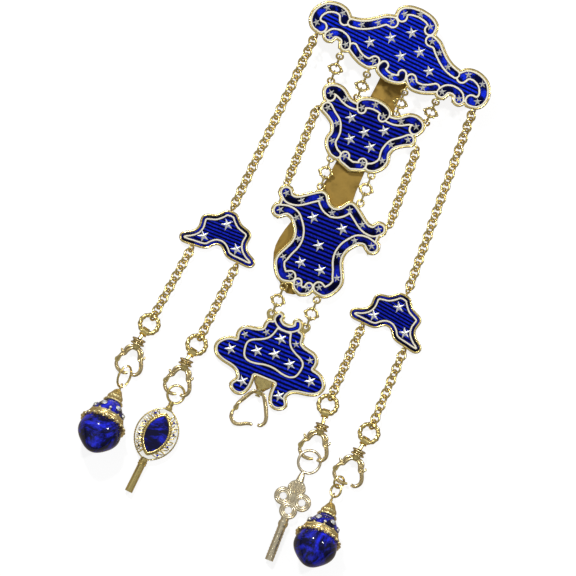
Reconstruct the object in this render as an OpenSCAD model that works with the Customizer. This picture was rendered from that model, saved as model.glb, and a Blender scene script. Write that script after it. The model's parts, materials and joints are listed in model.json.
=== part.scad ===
// Chatelaine: a belt ornament of six enamelled plates, chains, clips, two acorns and two watch keys.
// It lies on its back on a table. Units are millimetres, +Z is up and +Y points to the belt hook.

/* [Plates] */
// Width of the raised white lines
line_w = 0.65; // [0.4:0.05:0.9]
// Width of the gold rim outside the outer white line
rim_w = 0.45; // [0.4:0.05:1.2]
// Height of the gold rim above the back of a plate
rim_h = 1.75; // [1.5:0.05:2.5]
// Thickness of the gold under the enamel
floor_h = 0.8; // [0.6:0.05:1.2]
// Height of the enamel above the back of a plate
enamel_h = 1.85; // [1.6:0.05:2.6]
// Height of the white lines above the back of a plate
line_h = 2.1; // [1.9:0.05:2.8]
// Height of the silver stars above the back of a plate
star_h = 2.3; // [2.0:0.05:3]
// Space between pieces that are set into each other
gap = 0.05; // [0.03:0.01:0.1]

/* [Chains] */
// Radius of the middle line of a chain link
link_r = 1.5; // [1.3:0.05:1.8]
// Radius of the wire of a chain link
link_wire = 0.35; // [0.25:0.01:0.4]
// Height of the middle of a chain that lies on the table
chain_z = 1.62; // [1.6:0.01:1.9]
// Radius of the middle line of the eyelets on the plates
eyelet_r = 1.05; // [0.95:0.05:1.2]
// Distance from an eyelet to the first link
eyelet_step = 1.7; // [1.6:0.02:1.76]

/* [Belt hook] */
// Thickness of the strip that the hook is bent from
strip_t = 1.15; // [0.8:0.05:1.2]
// Space for the belt between the tongue and the upper leg
belt_gap = 4.7; // [3:0.1:8]

/* [Acorns] */
// Radius of the nut
nut_r = 7.05; // [6:0.05:8]
// Radius of the lace collar
collar_r = 7.6; // [6.5:0.05:8.5]
// Tilt of an acorn on the table, in degrees
acorn_tilt = 27; // [24:1:30]

/* [Hidden] */
$fn = 20;

// Where each plate lies: x, y, turn and height of its back
TOP = [-9.4, 83, -3.5, 7.05];
SECOND = [-10.55, 53, 1, 1.25];
THIRD = [-10, 14, 1, 1.25];
FOURTH = [-9.55, -26, 0.5, 0];
LEFT_WING = [-39.6, 6.5, 1, 0];
RIGHT_WING = [20.86, 3.35, -7, 0];

// Bands of one half of each plate: points [x, y, half width] on the middle of a blue band
TOP_BANDS = [
  [[0, 12.1, 0.7], [3, 11.65, 0.75], [4.95, 10.4, 0.95], [4.9, 8.9, 1.25]],
  [[6.75, 5.95, 1.3], [8.9, 5.5, 0.95], [10.9, 3.75, 0.95], [13.3, 1.9, 0.95],
   [15.9, 0.6, 0.95], [18.5, 0, 0.9]],
  [[20.8, -0.15, 1.3], [22.2, 1.55, 1], [24.7, 1.95, 0.95], [27.6, 0.8, 1.05],
   [29.2, -1.6, 1.05], [29.3, -3.7, 1.1], [28.3, -5.1, 1.25], [26.6, -5.4, 1.4]],
  [[23, -6.8, 1.15], [22.2, -5.45, 1], [20.1, -4.9, 0.9], [18, -5.6, 0.95], [17.05, -7.3, 1.15]],
  [[14.6, -6.8, 1], [12.4, -8.1, 0.85], [10.15, -8.9, 0.85], [7.9, -8.9, 1], [6.5, -7.6, 1.15]],
  [[3.2, -7.5, 0.95], [3.5, -8.8, 0.9], [2, -9.7, 0.8], [0, -10.1, 0.75]]];
SECOND_BANDS = [
  [[0, 10, 1.1], [2.3, 9.6, 1.1], [4, 8.6, 1.1], [3.6, 7.2, 1]],
  [[5.6, 7.3, 0.6], [7.7, 7.4, 0.7], [9.6, 8.1, 0.85], [11.8, 9.5, 1.1],
   [13.8, 9.8, 1.1], [15.2, 8.9, 1.2], [14.5, 7.4, 1.25]],
  [[14, 3.65, 1.25], [12, 2.3, 0.95], [9.6, 0.4, 0.95], [8.5, -2.2, 0.9], [8.5, -4, 0.9],
   [8.8, -5.4, 1], [8.3, -7, 1], [6.8, -8.6, 0.95], [5.5, -9.1, 0.8]],
  [[3, -8.6, 1], [3.2, -9.6, 0.8], [1.9, -10.1, 0.8], [0, -10.7, 0.85]]];
THIRD_BANDS = [
  [[0, 11.9, 1], [2, 12.5, 1], [3.6, 13.8, 1], [4.7, 15.4, 1], [5.6, 15.3, 1],
   [7.8, 13.8, 1], [10.3, 12, 1], [12.3, 11.1, 1], [14.6, 11.2, 1.15], [16, 12.6, 1.35]],
  [[16, 6.5, 1.4], [13.6, 7.6, 0.95], [11, 7.2, 0.95], [9.4, 5.8, 0.95], [7.6, 3.2, 0.95],
   [6.9, 0.4, 0.95], [7.2, -2, 0.95], [8.2, -4.4, 0.95], [9.1, -6.6, 1.1], [9.6, -8.4, 1],
   [8.7, -10.6, 1], [7, -12.3, 1.1], [4.9, -11.8, 1.35]],
  [[1.9, -12.7, 0.85], [1.5, -14, 0.8], [0, -14.8, 0.7]]];
FOURTH_BANDS = [
  [[3.1, 15, 0.5], [3.4, 13.9, 0.6], [2.4, 12.8, 0.55], [1.1, 12.2, 0.5], [0, 12.1, 0.5]],
  [[4.8, 11.3, 0.9], [5.1, 8.7, 1], [7.2, 7.3, 0.95], [9.2, 6.8, 0.95], [11.2, 5.6, 1.5],
   [11.3, 3.5, 1], [10.8, 2, 0.7]]];

// Middle of the white line between the cartouche of the fourth plate and its lower part
CARTOUCHE = [[2.3, 11.2], [2.9, 9], [4, 7.2], [6, 5.9], [8.2, 4.9], [9.5, 3.6], [9.6, 1.5],
  [8.8, -0.9], [7, -1.9], [4.5, -1.8], [2, -1.2], [0, -1]];
// Half of the lower part of the fourth plate, with its leg
LEG = [[11.2, 2.2], [13.5, 2.4], [16, 1.6], [17.8, -0.6], [17.2, -2.8], [15, -4], [11, -4.8],
  [8.7, -6], [7.5, -8.5], [8.8, -10.8], [7.2, -12.1], [5.3, -11.7], [4.3, -9.5], [4.2, -6.5],
  [4.3, -4.9], [0, -4.7]];
// Half outline of the enamel of a wing plate
WING = [[0, 7.1], [1.6, 6.8], [2.7, 5.6], [4.2, 4.3], [6, 3.7], [7.3, 3.2], [8, 2.2], [7.9, 0.8],
  [7.8, -0.6], [8.4, -2.2], [9.9, -3.5], [11.6, -4.4], [12.4, -5.4], [12, -6.5], [10.8, -6.9],
  [8, -6.7], [5, -6.5], [3.3, -5.9], [2.1, -4.6], [1, -3.8], [0, -3.6]];

// Small stars that sit in the bands, one half of each plate: x and y
TOP_SMALL = [[0, 12.1], [4.6, 10], [7.2, 6], [10.9, 3.8], [15.3, 0.9], [22.3, 1.6], [27.6, 0.9],
  [28.6, -4.8], [17.1, -7], [22.9, -6.6], [6.8, -7.9], [11, -8.6], [0.3, -9.8]];
SECOND_SMALL = [[0, 10.1], [3.7, 7.7], [9.6, 8.2], [14.6, 8.4], [13.8, 3.6], [9.3, 0.1],
  [8.6, -5.7], [3.1, -8.8]];
THIRD_SMALL = [[15.8, 12.4], [10.4, 12], [5, 14.8], [0, 11.9], [15.7, 6.7], [10, 6.3], [6.9, 0.2],
  [9.2, -6.9], [5, -11.8], [1.6, -13.4]];
FOURTH_SMALL = [[5.1, 8.7], [11.2, 5.5]];
TOP_FIELD = [[0.15, 5.6], [5.1, 1.2], [-5.1, 1.2], [10.5, -3], [-10.5, -3], [0.3, -2.7]];
SECOND_FIELD = [[5.7, 3.4], [-5.7, 3.4], [0, 0.6], [3.5, -3.1], [-3.5, -3.1]];
THIRD_FIELD = [[5, 8.3], [-5, 8.3], [0, 0.6], [3.4, -6.5], [-3.4, -6.5]];
FOURTH_FIELD = [[0, 8.4], [0, 3.2], [5.7, 2], [-5.7, 2], [13.8, -0.6], [-13.8, -0.6],
  [6.3, -8.7], [-6.3, -8.7]];
WING_FIELD = [[0, 3], [5.7, -3.2], [-5.7, -3.2]];

// Chains: middle of the eyelet at each end and the number of links between them
OUTER_LEFT = [[-37, 75.4], [-40, 15.55], 29];
OUTER_RIGHT = [[18.7, 73], [21.9, 12.65], 29];
MIDDLE_LEFT = [[-27.6, 54.6], [-27.2, 29.5], 12];
MIDDLE_RIGHT = [[7, 54.8], [8.3, 29.5], 12];
UPPER = [[[-27.2, 72.8], [-26.8, 64.7]], [[-17, 70.8], [-17, 63.1]], [[-3.8, 70.2], [-3.5, 63]],
  [[6.6, 71.2], [6.4, 64.1]]];
INNER = [[[-17.3, 41.8], [-16.7, 32.3]], [[-3.2, 41.8], [-3, 32.3]]];
LOWER = [[[-15.3, -1.8], [-15.4, -11.2]], [[-3.9, -1.6], [-3.6, -11.2]]];
// Drop chains: eyelet on a wing, middle of the rope ring, middle of the swivel collar
DROPS = [[[-47.3, -2], [-50.3, -29.5], [-51.4, -36]], [[-31.9, -2], [-33.8, -29.7], [-34.8, -36.2]],
  [[12.7, -4], [12.3, -31.2], [13.2, -38.5]], [[28, -6], [28, -34.5], [27.2, -41.5]]];

// Point at t on a smooth curve that runs from b to c, with a before and d after
function bend(a, b, c, d, t) = b + 0.5 * t * (c - a + t * (2 * a - 5 * b + 4 * c - d
  + t * (3 * (b - c) + d - a)));
// Smooth open curve through points p with n steps between two of them
function smooth(p, n) = let (m = len(p) - 1) concat([for (i = [0:m - 1], k = [0:n - 1])
  bend(p[max(i - 1, 0)], p[i], p[i + 1], p[min(i + 2, m)], k / n)], [p[m]]);
// Smooth closed curve
function loop(p, n) = let (m = len(p)) [for (i = [0:m - 1], k = [0:n - 1])
  bend(p[(i + m - 1) % m], p[i], p[(i + 1) % m], p[(i + 2) % m], k / n)];
// Points reversed and turned over to the other half of a plate
function other(p) = [for (i = [len(p) - 1:-1:0]) [-p[i][0], p[i][1]]];
function flat(p) = [for (q = p) [q[0], q[1]]];
function joined(b) = [for (s = b, q = s) [q[0], q[1]]];
// Point at a distance d along a line of straight pieces
function along(p, d, i = 0) = let (l = norm(p[i + 1] - p[i]))
  (d <= l || i == len(p) - 2) ? p[i] + (p[i + 1] - p[i]) * (d / l) : along(p, d - l, i + 1);
function total(p) = let (a = [for (i = [0:len(p) - 2]) norm(p[i + 1] - p[i])]) a * [for (q = a) 1];

module laid() {
  translate([12.8, -6.49, 0])
    children();
}

module put(place) {
  translate([place[0], place[1], place[3]])
    rotate([0, 0, place[2]])
      children();
}

module both() {
  children();
  mirror([1, 0])
    children();
}

// Band of changing width along points [x, y, half width]
module stroke(p) {
  s = smooth(p, 2);
  m = len(s) - 1;
  n = [for (i = [0:m]) let (a = s[max(i - 1, 0)], b = s[min(i + 1, m)], d = [a[1] - b[1], b[0] - a[0]])
    s[i][2] * d / norm(d)];
  c = flat(s);
  for (i = [0:m - 1])
    polygon([c[i] + n[i], c[i + 1] + n[i + 1], c[i + 1] - n[i + 1], c[i] - n[i]]);
  for (i = [0, m])
    translate(c[i])
      circle(s[i][2], $fn = 16);
}

module field(bands) {
  p = joined(bands);
  polygon(concat(p, other(p)));
}

module band_shape(bands) {
  offset(delta = -0.3)
    offset(delta = line_w + 0.3) {
      field(bands);
      both()
        for (b = bands)
          stroke(b);
    }
}

// Blue cells of a plate: the middle field and the bands, kept apart by the white lines
module band_cells(bands) {
  difference() {
    field(bands);
    offset(delta = line_w)
      both()
        for (b = bands)
          stroke(b);
  }
  for (i = [0:len(bands) - 1])
    difference() {
      both()
        stroke(bands[i]);
      offset(delta = line_w * 0.8)
        for (j = [0:1:i - 1])
          both()
            stroke(bands[j]);
    }
}

// Five-pointed star with one point down
module star(r) {
  polygon([for (i = [0:9]) (i % 2 == 0 ? r : r * 0.36) * [sin(36 * i + 180), cos(36 * i + 180)]]);
}

module small_stars(spots) {
  both()
    for (s = spots)
      translate(s)
        star(1.35);
}

module star_row(spots) {
  translate([0, 0, enamel_h + gap])
    linear_extrude(star_h - enamel_h - gap)
      for (s = spots)
        translate(s)
          star(2);
}

// The four parts of a plate, from its outline and its blue cells
module plate_gold(place, eyelets) {
  difference() {
    union() {
      put(place)
        linear_extrude(rim_h)
          offset(delta = rim_w)
            children(0);
      for (e = eyelets)
        eyelet(e, place[3]);
    }
    put(place)
      translate([0, 0, floor_h])
        linear_extrude(4)
          offset(delta = gap)
            children(0);
  }
}

module plate_enamel(place) {
  put(place)
    translate([0, 0, floor_h + gap])
      linear_extrude(enamel_h - floor_h - gap)
        offset(delta = 0.001)
          children(0);
}

module plate_lines(place, spots) {
  put(place)
    translate([0, 0, enamel_h + gap])
      linear_extrude(line_h - enamel_h - gap)
        offset(delta = -0.01) {
          difference() {
            children(0);
            children(1);
          }
          small_stars(spots);
        }
}

// Eyelet on a plate: x, y, direction of the chain, slope of the chain, roll, direction of the plate
function eyelet_z(z0) = z0 + 1.25;
module eyelet(e, z0) {
  translate([e[0], e[1], eyelet_z(z0)]) {
    rotate([0, -e[3], e[2]])
      rotate([e[4], 0, 0])
        ring(eyelet_r, 0.33);
    bar(-eyelet_r * [cos(e[3]) * cos(e[2]), cos(e[3]) * sin(e[2]), sin(e[3])],
      [2.35 * cos(e[5]), 2.35 * sin(e[5]), -0.1], 0.36);
  }
}

// Round bar from a to b
module bar(a, b, r) {
  d = b - a;
  translate(a)
    rotate([0, acos(d[2] / norm(d)), atan2(d[1], d[0])])
      cylinder(h = norm(d), r = r);
}

module ring(r, w) {
  rotate_extrude()
    translate([r, 0])
      circle(w);
}

module fourth_shape() {
  offset(delta = -0.25)
    offset(delta = line_w + 0.25) {
      both() {
        stroke(FOURTH_BANDS[0]);
        stroke(FOURTH_BANDS[1]);
      }
      polygon(concat([[0, 12.1]], smooth(CARTOUCHE, 2), other(smooth(CARTOUCHE, 2))));
      leg_shape();
    }
}

module leg_shape() {
  half = concat([[9.6, 1.5]], smooth(LEG, 2));
  polygon(concat(half, other(half)));
}

module fourth_cells() {
  both()
    stroke(FOURTH_BANDS[0]);
  difference() {
    both()
      stroke(FOURTH_BANDS[1]);
    offset(delta = line_w / 2)
      polygon(concat(smooth(CARTOUCHE, 2), other(smooth(CARTOUCHE, 2))));
  }
  offset(delta = -line_w / 2)
    polygon(concat(smooth(CARTOUCHE, 2), other(smooth(CARTOUCHE, 2))));
  difference() {
    leg_shape();
    offset(delta = line_w / 2)
      polygon(concat(smooth(CARTOUCHE, 2), other(smooth(CARTOUCHE, 2))));
    offset(delta = line_w)
      both()
        stroke(FOURTH_BANDS[1]);
  }
}

module wing_shape() {
  h = smooth(WING, 2);
  polygon(concat(h, other(h)));
}

module wing_cells() {
  difference() {
    offset(delta = 0.05)
      wing_shape();
    offset(delta = -0.8)
      wing_shape();
  }
  offset(delta = -1.4)
    wing_shape();
}

// One chain from a to b: points in space, number of links, distance to its ends, first roll
module chain(path, n, step_a, step_b, roll) {
  l = total(path);
  pitch = (l - step_a - step_b) / (n - 1);
  for (i = [0:n - 1]) {
    c = along(path, step_a + i * pitch);
    d = along(path, step_a + (i + 0.5) * pitch) - along(path, step_a + (i - 0.5) * pitch);
    translate(c)
      rotate([0, -asin(d[2] / norm(d)), atan2(d[1], d[0])])
        rotate([i % 2 == 0 ? roll : roll - 90, 0, 0])
          ring(link_r, link_wire);
  }
}

function xyz(p, z) = [p[0], p[1], z];
function between(a, b, t) = a + (b - a) * t;
// Path of a chain that comes down from height za, lies at chain_z and ends at height zb
function path_down(a, b, za, zb, far) = concat(
  [for (f = [0:0.2:1.01]) xyz(between(a, b, f * far), chain_z + (za - chain_z) * pow(1 - f, 2))],
  [xyz(between(a, b, 1 - 3 / norm(b - a)), chain_z), xyz(b, zb)]);
function heading(a, b) = atan2(b[1] - a[1], b[0] - a[0]);
function slope(p) = asin((p[1][2] - p[0][2]) / norm(p[1] - p[0]));

OUTER_LEFT_PATH = path_down(OUTER_LEFT[0], OUTER_LEFT[1], eyelet_z(TOP[3]), 1.25, 0.36);
OUTER_RIGHT_PATH = path_down(OUTER_RIGHT[0], OUTER_RIGHT[1], eyelet_z(TOP[3]), 1.25, 0.36);
MIDDLE_LEFT_PATH = path_down(MIDDLE_LEFT[0], MIDDLE_LEFT[1], 2.5, 2.5, 0.2);
MIDDLE_RIGHT_PATH = path_down(MIDDLE_RIGHT[0], MIDDLE_RIGHT[1], 2.5, 2.5, 0.2);
function drop_path(d) = [xyz(d[0], 1.25), xyz(between(d[0], d[1], 3 / norm(d[1] - d[0])), chain_z),
  xyz(between(d[0], d[1], 1 - 5 / norm(d[1] - d[0])), chain_z), xyz(d[1], 1.55)];

// Closed loop of wire through points in space, six sides, for links that aren't round
module wire_loop(p, w, sides = 6) {
  m = len(p);
  pts = [for (i = [0:m - 1])
    let (t = p[(i + 1) % m] - p[(i + m - 1) % m], u = t / norm(t),
      s = cross([0, 0, 1], u), a = s / norm(s), b = cross(u, a))
      for (k = [0:sides - 1]) p[i] + w * (cos(360 * k / sides) * a + sin(360 * k / sides) * b)];
  polyhedron(pts, [for (i = [0:m - 1], k = [0:sides - 1])
    let (i2 = (i + 1) % m, k2 = (k + 1) % sides,
      a = i * sides + k, b = i * sides + k2, c = i2 * sides + k2, d = i2 * sides + k)
      for (f = [[a, c, b], [a, d, c]]) f]);
}

// Open wire with a changing radius: points [x, y, z, radius]
module wire(p, sides = 8, steps = 3) {
  q = smooth(p, steps);
  m = len(q);
  c = [for (v = q) [v[0], v[1], v[2]]];
  pts = [for (i = [0:m - 1])
    let (t = c[min(i + 1, m - 1)] - c[max(i - 1, 0)], u = t / norm(t),
      s = cross([0, 0, 1], u), a = s / norm(s), b = cross(u, a))
      for (k = [0:sides - 1])
        c[i] + q[i][3] * (cos(360 * k / sides) * a + sin(360 * k / sides) * b)];
  polyhedron(pts, concat(
    [for (i = [0:m - 2], k = [0:sides - 1])
      let (k2 = (k + 1) % sides, a = i * sides + k, b = i * sides + k2,
        e = (i + 1) * sides + k2, d = (i + 1) * sides + k)
        for (f = [[a, e, b], [a, d, e]]) f],
    [[for (k = [0:sides - 1]) k]], [[for (k = [sides - 1:-1:0]) (m - 1) * sides + k]]));
}

// Long link with straight sides from x0 to x1 along its middle line
function long_link(x0, x1, r) = let (n = 3, m = 180 / n) concat(
  [for (i = [0:n]) [x1 - r + r * sin(m * i), r * cos(m * i), 0]],
  [for (i = [0:n]) [x0 + r - r * sin(m * i), -r * cos(m * i), 0]]);

// Short chain of three links: an upright one, a lozenge with knobs and an upright one
module short_chain(a, b) {
  d = b - a;
  l = norm(d);
  translate(a)
    rotate([0, -asin(d[2] / l), atan2(d[1], d[0])]) {
      for (k = [0, 1])
        translate([k * l, 0, 0])
          rotate([0, 0, 180 * k])
            rotate([90, 0, 0])
              wire_loop(long_link(0.2, l / 2 - 1, 0.78), 0.3);
      translate([l / 2, 0, 0])
        wire_loop([for (q = [[1.8, 0.35], [1.1, 1.25], [0.35, 1.9], [-0.35, 1.9], [-1.1, 1.25],
          [-1.8, 0.35], [-1.8, -0.35], [-1.1, -1.25], [-0.35, -1.9], [0.35, -1.9],
          [1.1, -1.25], [1.8, -0.35]]) [q[0], q[1], 0]], 0.35);
    }
}

// Eyelet at b of a short chain that comes from a, heights included
function short_end(a, b) = [b[0], b[1], heading(b, a),
  asin((a[2] - b[2]) / norm(a - b)), 0, heading(a, b)];
function ends(u, z0, z1) = [xyz(u[0], eyelet_z(z0)), xyz(u[1], eyelet_z(z1))];
UPPER_ENDS = [for (u = UPPER) ends(u, TOP[3], SECOND[3])];
INNER_ENDS = [for (u = INNER) ends(u, SECOND[3], THIRD[3])];
LOWER_ENDS = [for (u = LOWER) ends(u, THIRD[3], FOURTH[3])];

TOP_EYELETS = concat(
  [[OUTER_LEFT[0][0], OUTER_LEFT[0][1], heading(OUTER_LEFT[0], OUTER_LEFT[1]),
    slope(OUTER_LEFT_PATH), -55, 90],
   [OUTER_RIGHT[0][0], OUTER_RIGHT[0][1], heading(OUTER_RIGHT[0], OUTER_RIGHT[1]),
    slope(OUTER_RIGHT_PATH), -55, 90]],
  [for (u = UPPER_ENDS) short_end(u[1], u[0])]);
SECOND_EYELETS = concat(
  [[MIDDLE_LEFT[0][0], MIDDLE_LEFT[0][1], heading(MIDDLE_LEFT[0], MIDDLE_LEFT[1]),
    slope(MIDDLE_LEFT_PATH), -55, 40],
   [MIDDLE_RIGHT[0][0], MIDDLE_RIGHT[0][1], heading(MIDDLE_RIGHT[0], MIDDLE_RIGHT[1]),
    slope(MIDDLE_RIGHT_PATH), -55, 140]],
  [for (u = UPPER_ENDS) short_end(u[0], u[1])], [for (u = INNER_ENDS) short_end(u[1], u[0])]);
THIRD_EYELETS = concat(
  [[MIDDLE_LEFT[1][0], MIDDLE_LEFT[1][1], heading(MIDDLE_LEFT[1], MIDDLE_LEFT[0]), -16, -35, -70],
   [MIDDLE_RIGHT[1][0], MIDDLE_RIGHT[1][1], heading(MIDDLE_RIGHT[1], MIDDLE_RIGHT[0]), -16, -35,
    -110]],
  [for (u = INNER_ENDS) short_end(u[0], u[1])], [for (u = LOWER_ENDS) short_end(u[1], u[0])]);
FOURTH_EYELETS = [for (u = LOWER_ENDS) short_end(u[0], u[1])];
function wing_eyelets(o, d1, d2) = [
  [o[1][0], o[1][1], heading(o[1], o[0]), 7, 55, -90],
  [d1[0][0], d1[0][1], heading(d1[0], d1[1]), slope(drop_path(d1)), -55, 90],
  [d2[0][0], d2[0][1], heading(d2[0], d2[1]), slope(drop_path(d2)), -55, 90]];

// Outline of the tongue from its bend down to the pointed leaf
TONGUE = [[-11.7, 90.5], [-12.2, 80], [-13, 68], [-14.6, 50], [-16, 35], [-18, 26], [-21, 19],
  [-22.7, 12], [-22.5, 7], [-20.4, 2.5], [-17, -1], [-13.7, -3.4], [-9.5, -1.8], [-5.8, 1.5],
  [-3, 6], [-2, 12], [-3, 20], [-4.6, 27], [-5.7, 35], [-5.2, 50], [-4.3, 68], [-3.4, 80],
  [-2.7, 90.5]];
RIVETS = [[-8, 78], [-7.5, 87]];

// Side view of the bend: y and height
module bend_side() {
  h = 2 * strip_t + belt_gap;
  difference() {
    union() {
      translate([0, h / 2])
        circle(h / 2, $fn = 40);
      translate([-17, 0])
        square([17, h]);
    }
    translate([0, h / 2])
      circle(belt_gap / 2, $fn = 36);
    translate([-30, strip_t])
      square([30, belt_gap]);
    translate([-30, -1])
      square([26, 3]);
  }
}

module belt_hook() {
  color("goldenrod")
    laid() {
      linear_extrude(strip_t)
        offset(r = 0.2)
          offset(r = -0.2)
            polygon(smooth(TONGUE, 2));
      translate([-7.2, 90.5, 0])
        rotate([0, 0, -3.8])
          translate([-4.5, 0, 0])
            rotate([90, 0, 90])
              linear_extrude(9)
                offset(delta = 0.001)
                  bend_side();
      for (r = RIVETS)
        translate([r[0], r[1], strip_t + belt_gap + 0.5])
          cylinder(h = TOP[3] - belt_gap - strip_t - 0.5 + floor_h, r = 1);
    }
}

module top_gold() {
  color("gold")
    laid()
      difference() {
        plate_gold(TOP, TOP_EYELETS)
          band_shape(TOP_BANDS);
        for (r = RIVETS)
          translate([r[0], r[1], TOP[3] - 1])
            cylinder(h = 3, r = 1 + gap);
      }
}

module second_gold() {
  color("gold")
    laid()
      plate_gold(SECOND, SECOND_EYELETS)
        band_shape(SECOND_BANDS);
}

module third_gold() {
  color("gold")
    laid()
      plate_gold(THIRD, THIRD_EYELETS)
        band_shape(THIRD_BANDS);
}

// Cup under the fourth plate, with the pin that the centre clip turns on
CUP = [-9.5, -31.6, 1.75];
module cup() {
  translate(CUP) {
    intersection() {
      rotate([90, 0, 0])
        rotate_extrude()
          polygon([[0, -0.4], [3.1, -0.4], [3.1, 1], [2.7, 2], [1.7, 3.1], [1.2, 3.9], [0, 3.9]]);
      translate([-4, -5, -1.7])
        cube([8, 6, 3.4]);
    }
    rotate([2.5, 0, 0])
      swivel_pin(-3.5);
  }
}

module fourth_gold() {
  color("gold")
    laid()
      difference() {
        union() {
          plate_gold(FOURTH, FOURTH_EYELETS)
            fourth_shape();
          cup();
          for (s = [-1, 1])
            put(FOURTH)
              translate([s * 5.9, 14.9, 0.1])
                linear_extrude(1.5)
                  offset(delta = 0.001)
                    snail(s);
        }
        put(FOURTH)
          translate([0, 0, floor_h])
            linear_extrude(4)
              offset(delta = gap)
                fourth_shape();
      }
}

// Gold scroll beside the crescent
module snail(s) {
  difference() {
    union() {
      circle(1.6, $fn = 40);
      polygon([[-s * 1.5, 0], [s * 1.5, -0.6], [-s * 0.6, -4], [-s * 2.6, -4]]);
    }
    circle(0.6, $fn = 24);
    translate([-0.55, 0])
      square([1.1, 3]);
  }
}

module left_wing_gold() {
  color("gold")
    laid()
      plate_gold(LEFT_WING, wing_eyelets(OUTER_LEFT, DROPS[0], DROPS[1]))
        wing_shape();
}

module right_wing_gold() {
  color("gold")
    laid()
      plate_gold(RIGHT_WING, wing_eyelets(OUTER_RIGHT, DROPS[2], DROPS[3]))
        wing_shape();
}

module top_enamel() {
  color("mediumblue")
    laid()
      plate_enamel(TOP)
        band_shape(TOP_BANDS);
}

module second_enamel() {
  color("mediumblue")
    laid()
      plate_enamel(SECOND)
        band_shape(SECOND_BANDS);
}

module third_enamel() {
  color("mediumblue")
    laid()
      plate_enamel(THIRD)
        band_shape(THIRD_BANDS);
}

module fourth_enamel() {
  color("mediumblue")
    laid()
      plate_enamel(FOURTH)
        fourth_shape();
}

module left_wing_enamel() {
  color("mediumblue")
    laid()
      plate_enamel(LEFT_WING)
        wing_shape();
}

module right_wing_enamel() {
  color("mediumblue")
    laid()
      plate_enamel(RIGHT_WING)
        wing_shape();
}

module top_lines() {
  color("white")
    laid()
      plate_lines(TOP, TOP_SMALL) {
        band_shape(TOP_BANDS);
        band_cells(TOP_BANDS);
      }
}

module second_lines() {
  color("white")
    laid()
      plate_lines(SECOND, SECOND_SMALL) {
        band_shape(SECOND_BANDS);
        band_cells(SECOND_BANDS);
      }
}

module third_lines() {
  color("white")
    laid()
      plate_lines(THIRD, THIRD_SMALL) {
        band_shape(THIRD_BANDS);
        band_cells(THIRD_BANDS);
      }
}

module fourth_lines() {
  color("white")
    laid()
      plate_lines(FOURTH, FOURTH_SMALL) {
        fourth_shape();
        fourth_cells();
      }
}

module left_wing_lines() {
  color("white")
    laid()
      plate_lines(LEFT_WING, []) {
        wing_shape();
        wing_cells();
      }
}

module right_wing_lines() {
  color("white")
    laid()
      plate_lines(RIGHT_WING, []) {
        wing_shape();
        wing_cells();
      }
}

module top_stars() {
  color("silver")
    laid()
      put(TOP)
        star_row(TOP_FIELD);
}

module second_stars() {
  color("silver")
    laid()
      put(SECOND)
        star_row(SECOND_FIELD);
}

module third_stars() {
  color("silver")
    laid()
      put(THIRD)
        star_row(THIRD_FIELD);
}

module fourth_stars() {
  color("silver")
    laid()
      put(FOURTH)
        star_row(FOURTH_FIELD);
}

module left_wing_stars() {
  color("silver")
    laid()
      put(LEFT_WING)
        star_row(WING_FIELD);
}

module right_wing_stars() {
  color("silver")
    laid()
      put(RIGHT_WING)
        star_row(WING_FIELD);
}

// Chains
module outer_chain_left() {
  color("gold")
    laid()
      chain(OUTER_LEFT_PATH, OUTER_LEFT[2], eyelet_step, eyelet_step, 35);
}

module outer_chain_right() {
  color("gold")
    laid()
      chain(OUTER_RIGHT_PATH, OUTER_RIGHT[2], eyelet_step, eyelet_step, 35);
}

module middle_chain_left() {
  color("gold")
    laid()
      chain(MIDDLE_LEFT_PATH, MIDDLE_LEFT[2], eyelet_step, eyelet_step, 35);
}

module middle_chain_right() {
  color("gold")
    laid()
      chain(MIDDLE_RIGHT_PATH, MIDDLE_RIGHT[2], eyelet_step, eyelet_step, 35);
}

module upper_chains() {
  color("gold")
    laid()
      for (u = UPPER_ENDS)
        short_chain(u[0], u[1]);
}

module inner_chains() {
  color("gold")
    laid()
      for (u = INNER_ENDS)
        short_chain(u[0], u[1]);
}

module lower_chains() {
  color("gold")
    laid()
      for (u = LOWER_ENDS)
        short_chain(u[0], u[1]);
}

// Pin with a head that a clip turns on, along -Y from y
module swivel_pin(y) {
  translate([0, y, 0])
    rotate([90, 0, 0]) {
      cylinder(h = 2.2, r = 0.42);
      translate([0, 0, 1.9])
        cylinder(h = 0.5, r = 0.8);
    }
}

module in_clip(c, turn, tilt = 4) {
  translate(c)
    rotate([0, 0, turn])
      rotate([tilt, 0, 0])
        children();
}

// Drop chain with its rope ring, eye, stem and two-flange collar
collar_z = 2.3;
module drop_chain(d, turn) {
  u = (d[2] - d[1]) / norm(d[2] - d[1]);
  eye = xyz(d[1] + 2.82 * u, 1.55);
  top = xyz(d[2] + [-sin(turn), cos(turn)], collar_z);
  chain(drop_path(d), 12, eyelet_step, 3.1, 35);
  translate(xyz(d[1], 1.55))
    ring(2.95, 0.55);
  difference() {
    union() {
      translate(eye)
        rotate([90, 0, heading([0, 0], u)])
          cylinder(h = 2.4, r = 1.45, center = true);
      bar(eye + 1.1 * (top - eye) / norm(top - eye), top, 0.6);
    }
    translate(eye)
      rotate([90, 0, heading([0, 0], u)])
        cylinder(h = 4, r = 0.85, center = true);
  }
  in_clip(xyz(d[2], collar_z), turn) {
    rotate([90, 0, 0])
      rotate_extrude()
        polygon([[0, -0.85], [2, -0.85], [2.2, -0.6], [2, -0.35], [1.5, -0.3], [1.5, 0.3],
          [2, 0.35], [2.2, 0.6], [2, 0.85], [0, 0.85]]);
    swivel_pin(-0.5);
  }
}

module drop_chain_1() {
  color("gold")
    laid()
      drop_chain(DROPS[0], TURNS[0]);
}

module drop_chain_2() {
  color("gold")
    laid()
      drop_chain(DROPS[1], TURNS[1]);
}

module drop_chain_3() {
  color("gold")
    laid()
      drop_chain(DROPS[2], TURNS[2]);
}

module drop_chain_4() {
  color("gold")
    laid()
      drop_chain(DROPS[3], TURNS[3]);
}

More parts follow.
